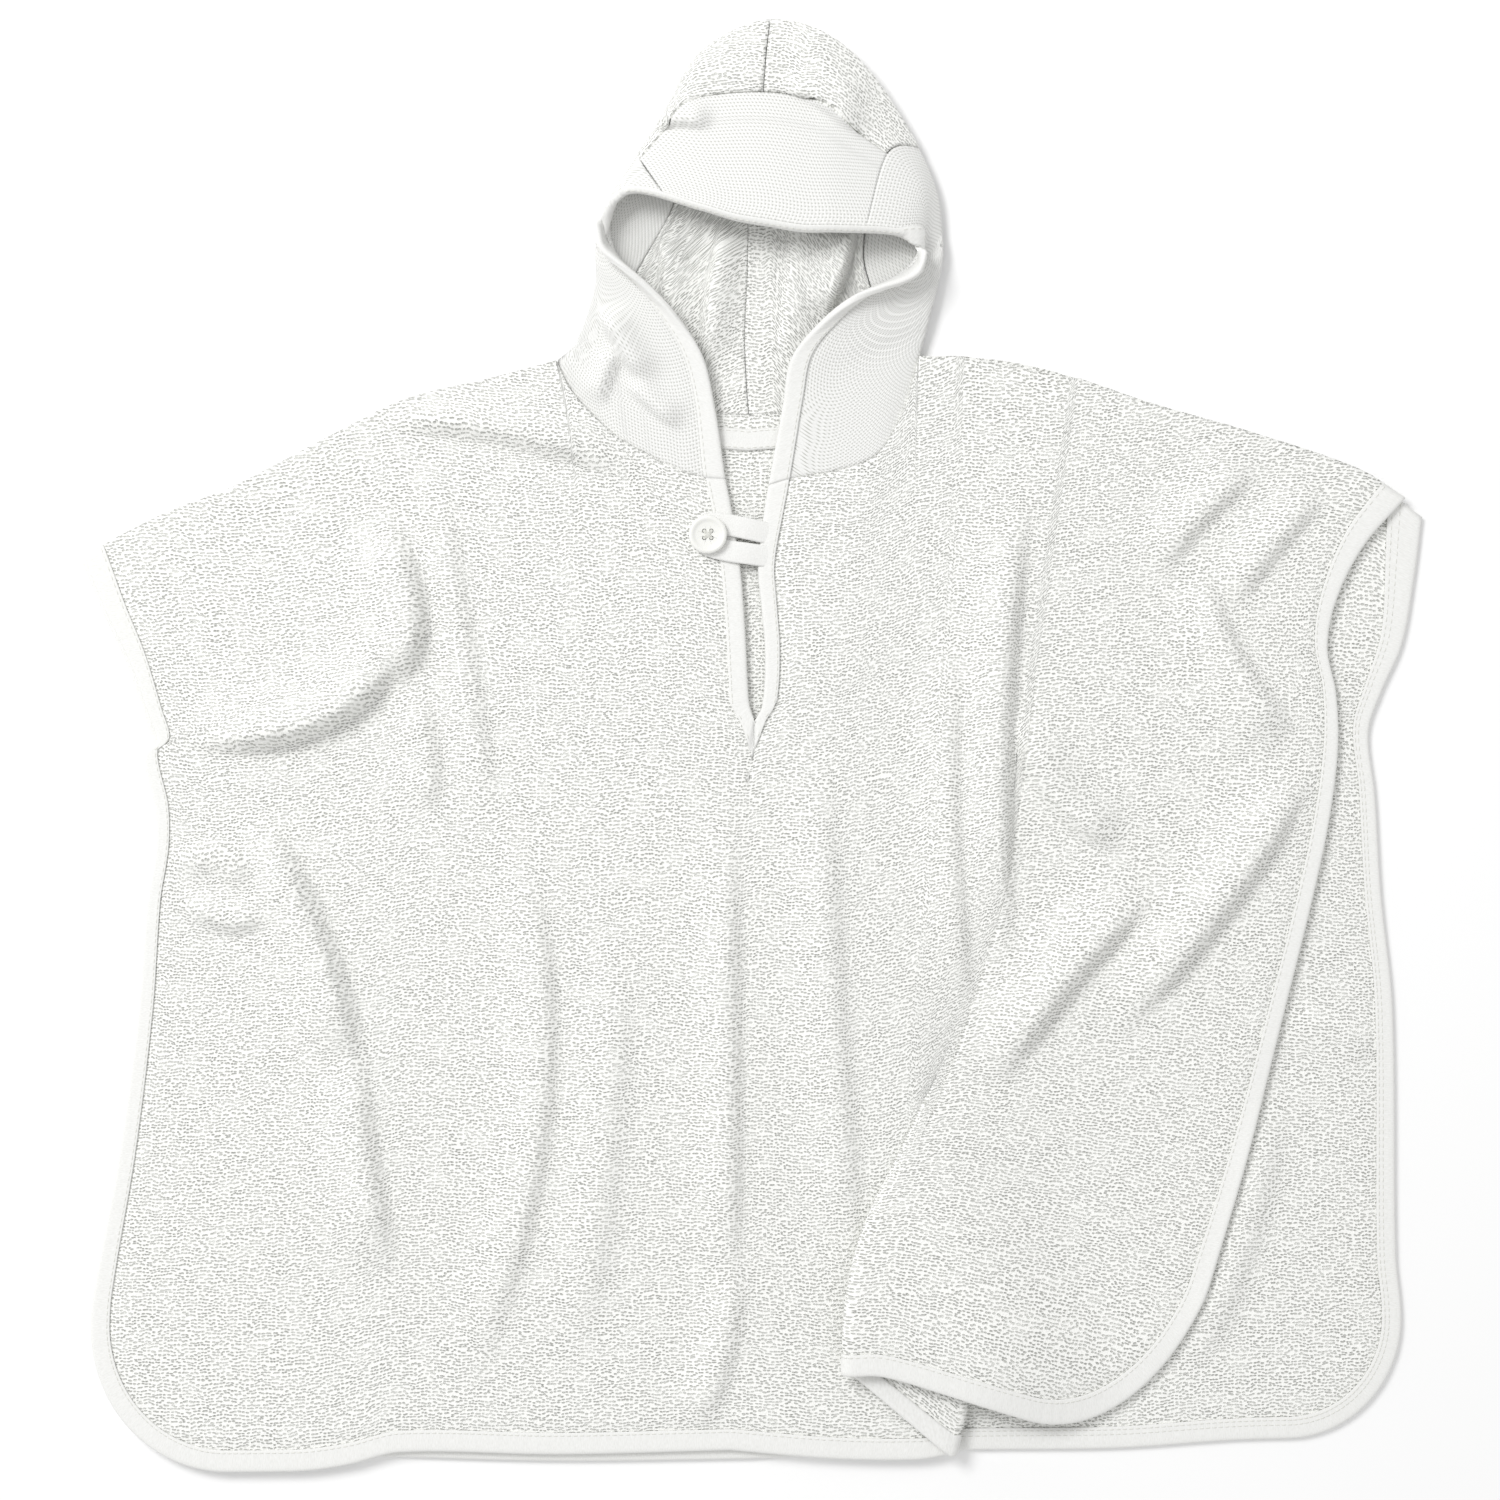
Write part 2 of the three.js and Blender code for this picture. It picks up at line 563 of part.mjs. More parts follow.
function toManifold(geometry) {
  const plain = geometry.clone();
  plain.deleteAttribute('normal');
  plain.deleteAttribute('uv');
  const merged = mergeVertices(plain, 1e-4);
  return new wasm.Manifold(new wasm.Mesh({
    numProp: 3,
    vertProperties: new Float32Array(merged.attributes.position.array),
    triVerts: new Uint32Array(merged.index.array),
  }));
}

function fromManifold(body) {
  const mesh = body.getMesh();
  const geometry = new THREE.BufferGeometry();
  geometry.setAttribute('position', new THREE.Float32BufferAttribute(mesh.vertProperties, 3));
  geometry.setIndex([...mesh.triVerts]);
  return geometry;
}

// Grid of cut points between four edges, each a list of [X, Y] with matching counts
function fill(top, hem, left, right) {
  const rows = [];
  for (let j = 0; j < left.length; j += 1) {
    const v = j / (left.length - 1);
    const row = [];
    for (let i = 0; i < top.length; i += 1) {
      const u = i / (top.length - 1);
      row.push([0, 1].map(a => {
        const ruled = mix(left[j][a], right[j][a], u) + mix(top[i][a], hem[i][a], v);
        const last = top.length - 1;
        return ruled - mix(mix(top[0][a], top[last][a], u), mix(hem[0][a], hem[last][a], u), v);
      }));
    }
    rows.push(row);
  }
  return rows;
}

const steps = (from, to, count) => Array.from({ length: count + 1 }, (_, k) => mix(from, to, k / count));

// The rim of a cut: places on it that can be moved in by a distance
function rim(sign, neck, corner) {
  const bend = HALF_WIDTH - corner;
  return {
    side: Y => inset => [sign * (HALF_WIDTH - inset), Math.min(Y, topLine(HALF_WIDTH - inset, neck))],
    tip: () => inset => [sign * (HALF_WIDTH - inset), topLine(HALF_WIDTH - inset, neck)],
    arc: angle => inset => [
      sign * (bend + (corner - inset) * Math.cos(angle)),
      HEM + corner - (corner - inset) * Math.sin(angle),
    ],
    hem: X => inset => [X, HEM + inset],
  };
}

// Side of a cut from the shoulder to the middle of its round corner, as rim places
function sidePlaces(sign, neck, corner, count) {
  const edge = rim(sign, neck, corner);
  const straight = TIP - (HEM + corner);
  const length = straight + corner * Math.PI / 4;
  return steps(0, length, count).map((run, k) => {
    if (k === 0) return edge.tip();
    return run < straight ? edge.side(TIP - run) : edge.arc((run - straight) / corner);
  });
}

// Hem of a cut from the middle of its round corner to X = inner, as rim places
function hemPlaces(sign, neck, corner, inner, count) {
  const edge = rim(sign, neck, corner);
  const bow = corner * Math.PI / 4;
  const length = bow + HALF_WIDTH - corner - inner;
  return steps(0, length, count).map(run => (
    run < bow ? edge.arc(Math.PI / 4 + run / corner) : edge.hem(sign * (HALF_WIDTH - corner - (run - bow)))));
}

const INSETS = [FULL_PILE_AT, TAPE_WIDTH, CLOTH_EDGE_IN_TAPE, 0];
const THIN = SQUEEZED / 2;

// Weaves the rim of a cloth: the steps from full pile to the folded edge inside the tape.
// inner: numbers of the points at full pile. places: rim places. Returns the run of the tape.
function weaveRim(cloth, name, inner, places, lay) {
  const lines = INSETS.map((inset, k) => inner.map((first, i) => {
    if (k === 0) return first;
    const id = cloth.at(`${name} ${k} ${i}`, () => lay(places[i](inset), i));
    cloth.points[id].half = THIN;
    return id;
  }));
  cloth.weave(lines.slice(0, 3), `${name} cloth`);
  cloth.weave(lines.slice(2), `${name} fold`);
  return inner.map((_, i) => [lines[3][i], lines[2][i], lines[1][i]]);
}

// Front panel
const FRONT_ROWS = 27;
const SLIT_ROWS = 8;
const SHOULDER_COLUMNS = 13;
// Columns of the neck scoop, closest where it turns up to the neck point
const NECK_OUTS = [FULL_PILE_AT, 33, 52, 67, 77, NECK_HALF];
const NECK_COLUMNS = NECK_OUTS.length - 1;
const FAN_COLUMNS = 10;
const PLEAT_PARTS = [0, 0.34, 0.67, 1, 1.33, 1.67, 2, 2.33, 2.67, 3];

const front = new Cloth();
const slitPlace = (sign, Y) => inset => [sign * inset, Math.min(Y, topLine(inset, FRONT_NECK))];
const slitEndPlace = () => inset => [0, SLIT_END - SLIT_MITRE * inset];
const hemInner = HEM + FULL_PILE_AT;

function middlePlaces(sign) {
  const top = topLine(FULL_PILE_AT, FRONT_NECK);
  const slit = steps(top, SLIT_END, SLIT_ROWS).slice(0, -1).map(Y => slitPlace(sign, Y));
  slit[0] = inset => [sign * inset, topLine(inset, FRONT_NECK)];
  return [...slit, slitEndPlace()];
}
function middleColumn(places) {
  const slit = places.map(place => place(FULL_PILE_AT));
  const below = steps(slit[SLIT_ROWS][1], hemInner, FRONT_ROWS - SLIT_ROWS).slice(1).map(Y => [0, Y]);
  return [...slit, ...below];
}
const topPlaces = (from, to, count, neck) => steps(from, to, count).map(X => [X, topLine(X, neck)]);

// Left half of the front, from its side to the slit
const leftSide = sidePlaces(-1, FRONT_NECK, FRONT_CORNER, FRONT_ROWS);
const leftHem = hemPlaces(-1, FRONT_NECK, FRONT_CORNER, 0, SHOULDER_COLUMNS + NECK_COLUMNS);
const leftSlit = middlePlaces(-1);
const leftTop = [
  ...topPlaces(FULL_PILE_AT - HALF_WIDTH, -NECK_HALF, SHOULDER_COLUMNS, FRONT_NECK),
  ...NECK_OUTS.slice(0, -1).reverse().map(out => [-out, topLine(out, FRONT_NECK)]),
];
const leftCut = fill(
  leftTop, leftHem.map(place => place(FULL_PILE_AT)),
  leftSide.map(place => place(FULL_PILE_AT)), middleColumn(leftSlit));

// Right half: slit to pleat, pleat, pleat to side
const rightSlit = middlePlaces(1);
const lowLine = steps(topLine(PLEAT_START, FRONT_NECK), hemInner, FRONT_ROWS).map(Y => [PLEAT_START, Y]);
const innerTop = [
  ...NECK_OUTS.map(out => [out, topLine(out, FRONT_NECK)]),
  [PLEAT_START, topLine(PLEAT_START, FRONT_NECK)],
];
const innerHem = steps(0, PLEAT_START, NECK_COLUMNS + 1).map(X => [X, hemInner]);
const innerCut = fill(innerTop, innerHem, middleColumn(rightSlit), lowLine);
const highLine = steps(topLine(PLEAT_END, FRONT_NECK), hemInner, FRONT_ROWS).map(Y => [PLEAT_END, Y]);
const fanSide = sidePlaces(1, FRONT_NECK, FRONT_CORNER, FRONT_ROWS);
const fanHem = hemPlaces(1, FRONT_NECK, FRONT_CORNER, PLEAT_END, FAN_COLUMNS).reverse();
const fanCut = fill(
  topPlaces(PLEAT_END, HALF_WIDTH - FULL_PILE_AT, FAN_COLUMNS, FRONT_NECK),
  fanHem.map(place => place(FULL_PILE_AT)), highLine, fanSide.map(place => place(FULL_PILE_AT)));

// Points of one row of the front, from left to right, with the shared middle line below the slit
const frontRows = leftCut.map((cutRow, j) => {
  const below = j >= SLIT_ROWS;
  const last = cutRow.length - 1;
  const left = cutRow.map(([X, Y], i) => {
    const name = below && i === last ? `middle ${j}` : `left ${j} ${i}`;
    return front.at(name, () => layFront(X, Y));
  });
  const inner = innerCut[j].map(([X, Y], i) => {
    const name = below && i === 0 ? `middle ${j}` : `inner ${j} ${i}`;
    return front.at(name, () => layFront(X + JUST, Y));
  });
  const pleat = PLEAT_PARTS.slice(1, -1).map(part => {
    const Y = mix(innerCut[j][NECK_COLUMNS + 1][1], fanCut[j][0][1], part / 3);
    return front.at(`pleat ${j} ${part}`, () => layPleat(part, Y));
  });
  const fan = fanCut[j].map(([X, Y], i) => front.at(`fan ${j} ${i}`, () => layFront(X + JUST, Y)));
  return { left, right: [...inner, ...pleat, ...fan] };
});
front.weave(frontRows.map(row => row.left), 'front');
front.weave(frontRows.map(row => row.right), 'front');

// Rim of the front from the left tip round the hem to the right tip
const lastRow = frontRows[FRONT_ROWS];
const rimPoints = [
  ...frontRows.map(row => row.left[0]),
  ...lastRow.left.slice(1),
  ...lastRow.right.slice(1),
  ...frontRows.slice(0, -1).reverse().map(row => row.right[row.right.length - 1]),
];
const pleatFrom = frontRows.length + lastRow.left.length - 1 + NECK_COLUMNS + 1;
const hemPlace = X => inset => [X, HEM + inset];
const rimPlaces = [
  ...leftSide, ...leftHem.slice(1),
  ...innerHem.slice(1).map(([X]) => hemPlace(X)),
  ...PLEAT_PARTS.slice(1, -1).map(() => hemPlace(0)),
  ...fanHem,
  ...fanSide.slice(0, -1).reverse(),
];
const frontRun = weaveRim(front, 'edge', rimPoints, rimPlaces, ([X, Y], i) => {
  const pleatStep = i - pleatFrom + 1;
  if (pleatStep > 0 && pleatStep < PLEAT_PARTS.length - 1) return layPleat(PLEAT_PARTS[pleatStep], Y);
  return layFront(X, Y);
});

// Rim of the slit: down its left edge and up its right edge
const slitPoints = [
  ...frontRows.slice(0, SLIT_ROWS + 1).map(row => row.left[row.left.length - 1]),
  ...frontRows.slice(0, SLIT_ROWS).reverse().map(row => row.right[0]),
];
const slitPlaces = [...leftSlit, ...rightSlit.slice(0, -1).reverse()];
const slitRun = weaveRim(front, 'slit', [...slitPoints].reverse(), [...slitPlaces].reverse(), ([X, Y], i) => (
  layFront(i < SLIT_ROWS ? X + JUST : X, Y)));
front.findNormals();

// Back panel
const BACK_ROWS = 20;
const BACK_SHOULDER_COLUMNS = 10;
const BACK_NECK_COLUMNS = 6;
const back = new Cloth();
const backColumns = BACK_SHOULDER_COLUMNS + BACK_NECK_COLUMNS;
const backMiddle = steps(BACK_NECK, hemInner, BACK_ROWS).map(Y => [0, Y]);
const backHalves = [-1, 1].map(sign => {
  const side = sidePlaces(sign, BACK_NECK, BACK_CORNER, BACK_ROWS);
  const hem = hemPlaces(sign, BACK_NECK, BACK_CORNER, 0, backColumns);
  const top = [
    ...topPlaces(sign * (HALF_WIDTH - FULL_PILE_AT), sign * NECK_HALF, BACK_SHOULDER_COLUMNS, BACK_NECK),
    ...topPlaces(sign * NECK_HALF, 0, BACK_NECK_COLUMNS, BACK_NECK).slice(1),
  ];
  const cut = fill(
    top, hem.map(place => place(FULL_PILE_AT)), side.map(place => place(FULL_PILE_AT)), backMiddle);
  return { sign, side, hem, cut };
});
const backRows = backMiddle.map((_, j) => {
  const [left, right] = backHalves.map(({ sign, cut }) => cut[j].map(([X, Y], i) => {
    const name = i === backColumns ? `middle ${j}` : `${sign} ${j} ${i}`;
    return back.at(name, () => layBack(X, Y));
  }));
  return [...left, ...right.slice(0, -1).reverse()];
});
back.weave(backRows, 'back');
const backLast = backRows[BACK_ROWS];
const backRimPoints = [
  ...backRows.map(row => row[0]), ...backLast.slice(1),
  ...backRows.slice(0, -1).reverse().map(row => row[row.length - 1]),
];
const backRimPlaces = [
  ...backHalves[0].side, ...backHalves[0].hem.slice(1),
  ...backHalves[1].hem.slice(0, -1).reverse(), ...backHalves[1].side.slice(0, -1).reverse(),
];
const backRun = weaveRim(back, 'edge', backRimPoints, backRimPlaces, ([X, Y]) => {
  const place = layBack(X, Y);
  place.z += TAPE_HEIGHT / 2 - BACK_MID;
  return place;
});
back.findNormals();

// Neck tape: flat on the inside of the back, just below the neck seam
const NECK_TAPE_FROM = 7;
const NECK_TAPE_HALF_LENGTH = 66;
const NECK_TAPE_COLUMNS = 12;
const neckTape = new Cloth();
const neckTapeRows = [NECK_TAPE_FROM, NECK_TAPE_FROM + TAPE_WIDTH].map((below, j) => (
  steps(-NECK_TAPE_HALF_LENGTH, NECK_TAPE_HALF_LENGTH, NECK_TAPE_COLUMNS).map((X, i) => (
    neckTape.at(`${j} ${i}`, () => {
      const place = layBack(X, topLine(X, BACK_NECK) - below);
      place.z += TERRY / 2 + SEAM_GAP + TAPE / 2;
      return place;
    })))));
neckTape.weave(neckTapeRows, 'tape');
neckTape.points.forEach(p => { p.half = TAPE / 2; });
neckTape.findNormals();

// Hood: arcs from the left lip of the face opening round the back of the head to the right lip.
// Each arc after the neck seam is laid through seven places, [x, y, z]. Its cloth turns over at
// the sides, and the crown arc is the outline where the hood turns back towards the forehead.
const HOOD_PLACES = ['leftLip', 'leftSide', 'leftBack', 'seam', 'rightBack', 'rightSide', 'rightLip'];
const HOOD_AROUND = [-1, -0.62, -0.3, 0, 0.3, 0.62, 1];
const HOOD_ARCS = [
  { leftLip: [-18, 158, 9], leftSide: [-82, 189, 5.4], leftBack: [-46, 180, 1.5], seam: [-3, 170, 1.5],
    rightBack: [38, 180, 1.5], rightSide: [79, 190, 5.4], rightLip: [14, 158, 9] },
  { leftLip: [-24, 183, 12], leftSide: [-77, 201, 6.5], leftBack: [-46, 200, 1.5], seam: [-4, 193, 1.5],
    rightBack: [43, 200, 1.5], rightSide: [82, 202, 6.5], rightLip: [18, 181, 12] },
  { leftLip: [-36, 201, 14], leftSide: [-73, 217, 7], leftBack: [-44, 226, 1.5], seam: [-3, 221, 1.5],
    rightBack: [46, 226, 1.5], rightSide: [86, 217, 7], rightLip: [31, 197, 14] },
  { leftLip: [-48, 213, 14], leftSide: [-73, 231, 7], leftBack: [-41, 254, 1.5], seam: [-2, 252, 1.5],
    rightBack: [46, 257, 1.5], rightSide: [88.5, 232, 7], rightLip: [46, 208, 14] },
  { leftLip: [-58, 221, 14], leftSide: [-72, 243, 4.5], leftBack: [-38, 280, 1.5], seam: [1, 287, 1.5],
    rightBack: [48, 285, 1.5], rightSide: [88, 244, 4.5], rightLip: [60, 213, 14] },
  { leftLip: [-65, 226, 14], leftSide: [-70, 256, 6], leftBack: [-39, 297, 7], seam: [8, 340, 8],
    rightBack: [65, 303, 7], rightSide: [87, 256, 6.5], rightLip: [70, 216, 13.5] },
  { leftLip: [-71, 232, 14.5], leftSide: [-66, 260, 13], leftBack: [-33, 297, 15], seam: [6, 303, 17],
    rightBack: [44, 291, 16], rightSide: [81, 258, 13], rightLip: [78, 221, 14] },
  { leftLip: [-74, 244, 16], leftSide: [-58, 259, 21], leftBack: [-22, 249, 26], seam: [8, 242, 27],
    rightBack: [37, 239, 26], rightSide: [66, 238, 21], rightLip: [81, 231, 16] },
];
const HOOD_FLOOR = 1.5;
const NECK_SEAM_AWAY = 0.95;
const NECK_MIDDLE = [-5, 190];
// The neck seam comes down from the front to the neck point, then to the surface behind it
const NECK_POINT_MID = 4.2;
const NECK_FALL_FROM = 0.6;
const NECK_FALL_BEHIND = 0.28;
const BAND_SIDE = 0.45;
const BAND_TOP = 7 / 8;

// A place on a neck line, moved off it towards the middle of the neck by the seam gap
function besideNeck(line, out) {
  const [x, y] = point(line, 'out', out);
  const [ax, ay] = point(line, 'out', out - 1);
  const [bx, by] = point(line, 'out', out + 1);
  const length = Math.hypot(bx - ax, by - ay);
  const normal = [(ay - by) / length, (bx - ax) / length];
  const inwards = Math.sign(normal[0] * (NECK_MIDDLE[0] - x) + normal[1] * (NECK_MIDDLE[1] - y));
  return [x + inwards * normal[0] * NECK_SEAM_AWAY, y + inwards * normal[1] * NECK_SEAM_AWAY];
}

function hoodNeckPlace(around) {
  const size = Math.abs(around);
  const turnAt = HOOD_AROUND[5];
  const left = around < 0;
  if (size >= turnAt) {
    const out = NECK_HALF * (1 - size) / (1 - turnAt);
    const fall = smooth((out / NECK_HALF - NECK_FALL_FROM) / (1 - NECK_FALL_FROM));
    const z = mix(FRONT_MID, NECK_POINT_MID, fall);
    return [...besideNeck(left ? NECK_LEFT : NECK_RIGHT, out), z];
  }
  const out = NECK_HALF * size / turnAt;
  const z = mix(NECK_POINT_MID, HOOD_FLOOR, smooth((turnAt - size) / NECK_FALL_BEHIND));
  return [...besideNeck(left ? BACK_NECK_LEFT : BACK_NECK_RIGHT, out), z];
}
const hoodArc = (index, around) => {
  if (index === 0) return hoodNeckPlace(around);
  const rows = HOOD_PLACES.map((name, k) => {
    const [x, y, z] = HOOD_ARCS[index - 1][name];
    return { around: HOOD_AROUND[k], x, y, z };
  });
  return ['x', 'y', 'z'].map(axis => read(rows, 'around', axis, around));
};
const HOOD_LAST = HOOD_ARCS.length;
function layHood(up, around) {
  const rows = Array.from({ length: HOOD_LAST + 1 }, (_, k) => {
    const [x, y, z] = hoodArc(k, around);
    return { up: k / HOOD_LAST, x, y, z };
  });
  const [x, y, z] = ['x', 'y', 'z'].map(axis => read(rows, 'up', axis, up));
  return new THREE.Vector3(x, y, Math.max(z, HOOD_FLOOR));
}

// The place reached by walking a distance from one place of the hood towards another
const WALK_STEPS = 120;
function walkIn(lay, from, towards, distance) {
  let last = lay(from);
  let walked = 0;
  for (let k = 1; k <= WALK_STEPS; k += 1) {
    const next = lay(mix(from, towards, k / WALK_STEPS));
    const step = next.distanceTo(last);
    if (walked + step >= distance) {
      return mix(from, towards, (k - 1 + (distance - walked) / step) / WALK_STEPS);
    }
    walked += step;
    last = next;
  }
  return towards;
}

const HOOD_BACK_COLUMNS = 6;
const HOOD_TOP_ROWS = 4;
// Rows from the neck seam to the band, in arcs, closest where the crown turns over
const HOOD_ROW_ARCS = [0, 0.5, 1, 2, 3, 4, 5, 5.5, 5.85, 6.15, 6.45, 6.75, 7];
const HOOD_ROWS = HOOD_ROW_ARCS.length - 1;
// Columns of the band beside the face, closest where its sides turn under
const BAND_TURN = [0.73, 0.67, 0.62, 0.53];
// Half of the gap at the middle seam, at the sides of the band and at its top, in hood places
const SEAM_HALF = 0.0034;
const BAND_SIDE_HALF = 0.006;
const BAND_TOP_HALF = 0.0022;
const hood = new Cloth();

// Columns of a row, as places around the hood
function hoodColumns(up) {
  const side = sign => {
    const edge = walkIn(a => layHood(up, a), sign, 0, CLOTH_EDGE_IN_TAPE);
    const tapeEnd = walkIn(a => layHood(up, a), sign, 0, TAPE_WIDTH);
    const band = [tapeEnd, ...BAND_TURN.map(a => sign * a), sign * (BAND_SIDE + BAND_SIDE_HALF)];
    const terry = steps(sign * (BAND_SIDE - BAND_SIDE_HALF), sign * SEAM_HALF, HOOD_BACK_COLUMNS);
    return [sign, edge, ...band, ...terry];
  };
  return [...side(-1), ...side(1).reverse()];
}
// Rows of a column, as places up the hood
function hoodRows(around) {
  const edge = walkIn(u => layHood(u, around), 1, BAND_TOP, CLOTH_EDGE_IN_TAPE);
  const tapeEnd = Math.max(walkIn(u => layHood(u, around), 1, BAND_TOP, TAPE_WIDTH), BAND_TOP + 0.02);
  return [
    ...HOOD_ROW_ARCS.map(arc => Math.min(arc / HOOD_LAST, BAND_TOP - BAND_TOP_HALF)),
    ...steps(BAND_TOP + BAND_TOP_HALF, tapeEnd, HOOD_TOP_ROWS - 1), edge, 1,
  ];
}
const middleRows = hoodRows(0);
const rowCount = middleRows.length;
const hoodIds = middleRows.map((middleRow, j) => hoodColumns(middleRow).map((around, i) => {
  const up = hoodRows(around)[j];
  return hood.at(`${j} ${i}`, () => layHood(up, around));
}));
const columnCount = hoodIds[0].length;
const bandColumn = BAND_TURN.length + 3;
const bandRow = HOOD_ROWS;
for (let j = 0; j + 1 < rowCount; j += 1) {
  for (let i = 0; i + 1 < columnCount; i += 1) {
    const mirror = columnCount - 2 - i;
    const nearest = Math.min(i, mirror);
    const fold = nearest === 0 || j === rowCount - 2;
    const seam = i === columnCount / 2 - 1;
    const band = nearest < bandColumn || j > bandRow;
    const gap = (nearest === bandColumn && j <= bandRow) || (j === bandRow && nearest >= bandColumn);
    let group = i < columnCount / 2 ? 'hood left' : 'hood right';
    if (fold) group = 'hood fold';
    else if (band) group = 'hood band';
    else if (gap || seam) group = 'gap';
    hood.weave([hoodIds[j + 1].slice(i, i + 2), hoodIds[j].slice(i, i + 2)], group);
    if (band) hoodIds.slice(j, j + 2).forEach(row => row.slice(i, i + 2).forEach(k => {
      hood.points[k].half = Math.min(hood.points[k].half, WEAVE / 2);
    }));
  }
}
const hoodRun = [
  ...hoodIds.slice(0, -2).map(row => row.slice(0, 3)),
  ...Array.from({ length: columnCount - 4 }, (_, i) => i + 2).map(i => (
    [hoodIds[rowCount - 1][i], hoodIds[rowCount - 2][i], hoodIds[rowCount - 3][i]])),
  ...hoodIds.slice(0, -2).reverse().map(row => row.slice(-3).reverse()),
];
// The tape turns the corner of the left lip on its diagonal
hoodRun[rowCount - 3] = [hoodIds[rowCount - 1][0], hoodIds[rowCount - 2][1], hoodIds[rowCount - 3][2]];
hoodRun.flat().forEach(k => { hood.points[k].half = THIN; });
hood.findNormals();

// Button loop: a folded strip on the right edge of the slit, two straps that pass the button
const LOOP_THICK = 1.2;
const LOOP_Z = FRONT_MID + TAPE_HEIGHT / 2 + SEAM_GAP;
const LOOP_ROUND = 8.2;
const LOOP_EYE = 3.0;
const LOOP_BEND = [BUTTON_AT[0] + 1, BUTTON_AT[1]];
const LOOP_STRAPS = [
  { strap: 'upper', sewnX: 7, sewnY: 107.5, nearX: -9, nearY: 109.4, turn: 54 },
  { strap: 'lower', sewnX: 4, sewnY: 84.5, nearX: -12, nearY: 87.8, turn: -50 },
];
const LOOP_GAP = { mouthX: 5, mouthY: 96.4, topX: -9, topY: 100.6 };
function makeLoop() {
  const [upper, lower] = LOOP_STRAPS;
  const [bx, by] = LOOP_BEND;
  const outline = new THREE.Shape();
  outline.moveTo(upper.sewnX, upper.sewnY);
  outline.lineTo(upper.nearX, upper.nearY);
  outline.absarc(bx, by, LOOP_ROUND, Math.PI * upper.turn / 180, Math.PI * lower.turn / 180, false);
  outline.lineTo(lower.nearX, lower.nearY);
  outline.lineTo(lower.sewnX, lower.sewnY);
  outline.closePath();
  const eye = new THREE.Path();
  eye.moveTo(LOOP_GAP.mouthX, LOOP_GAP.mouthY);
  eye.lineTo(bx, by - LOOP_EYE);
  eye.absarc(bx, by, LOOP_EYE, -Math.PI / 2, Math.PI / 2, true);
  eye.lineTo(LOOP_GAP.topX, LOOP_GAP.topY);
  eye.closePath();
  outline.holes.push(eye);
  const geometry = new THREE.ExtrudeGeometry(outline, { depth: LOOP_THICK, bevelEnabled: false, curveSegments: 8 });
  geometry.translate(0, 0, LOOP_Z);
  return geometry;
}

// Button: turned disc with a raised rim and four holes
const BUTTON_RADIUS = 9.0;
const BUTTON_THICK = 2.8;
const BUTTON_HOLE = 0.95;
const BUTTON_HOLES_APART = 3.4;
const THREAD_PAD = 0.5;
const BUTTON_Z = LOOP_Z + LOOP_THICK + SEAM_GAP + THREAD_PAD + SEAM_GAP;
const BUTTON_DISH = 1.8;
const HOLE_ANGLES = [0, 1, 2, 3].map(k => Math.PI / 4 + k * Math.PI / 2);
const holeSpots = HOLE_ANGLES.map(angle => [
  BUTTON_AT[0] + BUTTON_HOLES_APART / Math.SQRT2 * Math.cos(angle),
  BUTTON_AT[1] + BUTTON_HOLES_APART / Math.SQRT2 * Math.sin(angle),
]);
function upright(radius, from, to, [x, y], sides) {
  const geometry = new THREE.CylinderGeometry(radius, radius, to - from, sides);
  geometry.rotateX(Math.PI / 2);
  geometry.translate(x, y, (from + to) / 2);
  return toManifold(geometry);
}
// Its section, from the middle of the underside to the middle of the dish: inwards from the rim, up
const BUTTON_SECTION = [
  { place: 'under middle', inFromRim: BUTTON_RADIUS, up: 0 },
  { place: 'under edge', inFromRim: 1.6, up: 0 },
  { place: 'side, low', inFromRim: 0, up: 1.0 },
  { place: 'side, high', inFromRim: 0, up: 1.9 },
  { place: 'rim, outer', inFromRim: 0.7, up: BUTTON_THICK },
  { place: 'rim, inner', inFromRim: 1.7, up: BUTTON_THICK },
  { place: 'dish edge', inFromRim: 2.7, up: BUTTON_DISH },
  { place: 'dish middle', inFromRim: BUTTON_RADIUS, up: BUTTON_DISH },
];
const BUTTON_SIDES = 40;
function makeButton() {
  const profile = BUTTON_SECTION.map(({ inFromRim, up }) => new THREE.Vector2(BUTTON_RADIUS - inFromRim, up));
  const disc = new THREE.LatheGeometry(profile, BUTTON_SIDES);
  disc.rotateX(Math.PI / 2);
  disc.translate(BUTTON_AT[0], BUTTON_AT[1], BUTTON_Z);
  let body = toManifold(disc);
  for (const spot of holeSpots) {
    body = body.subtract(upright(BUTTON_HOLE, BUTTON_Z - 1, BUTTON_Z + BUTTON_THICK + 1, spot, 12));
  }
  return fromManifold(body);
}

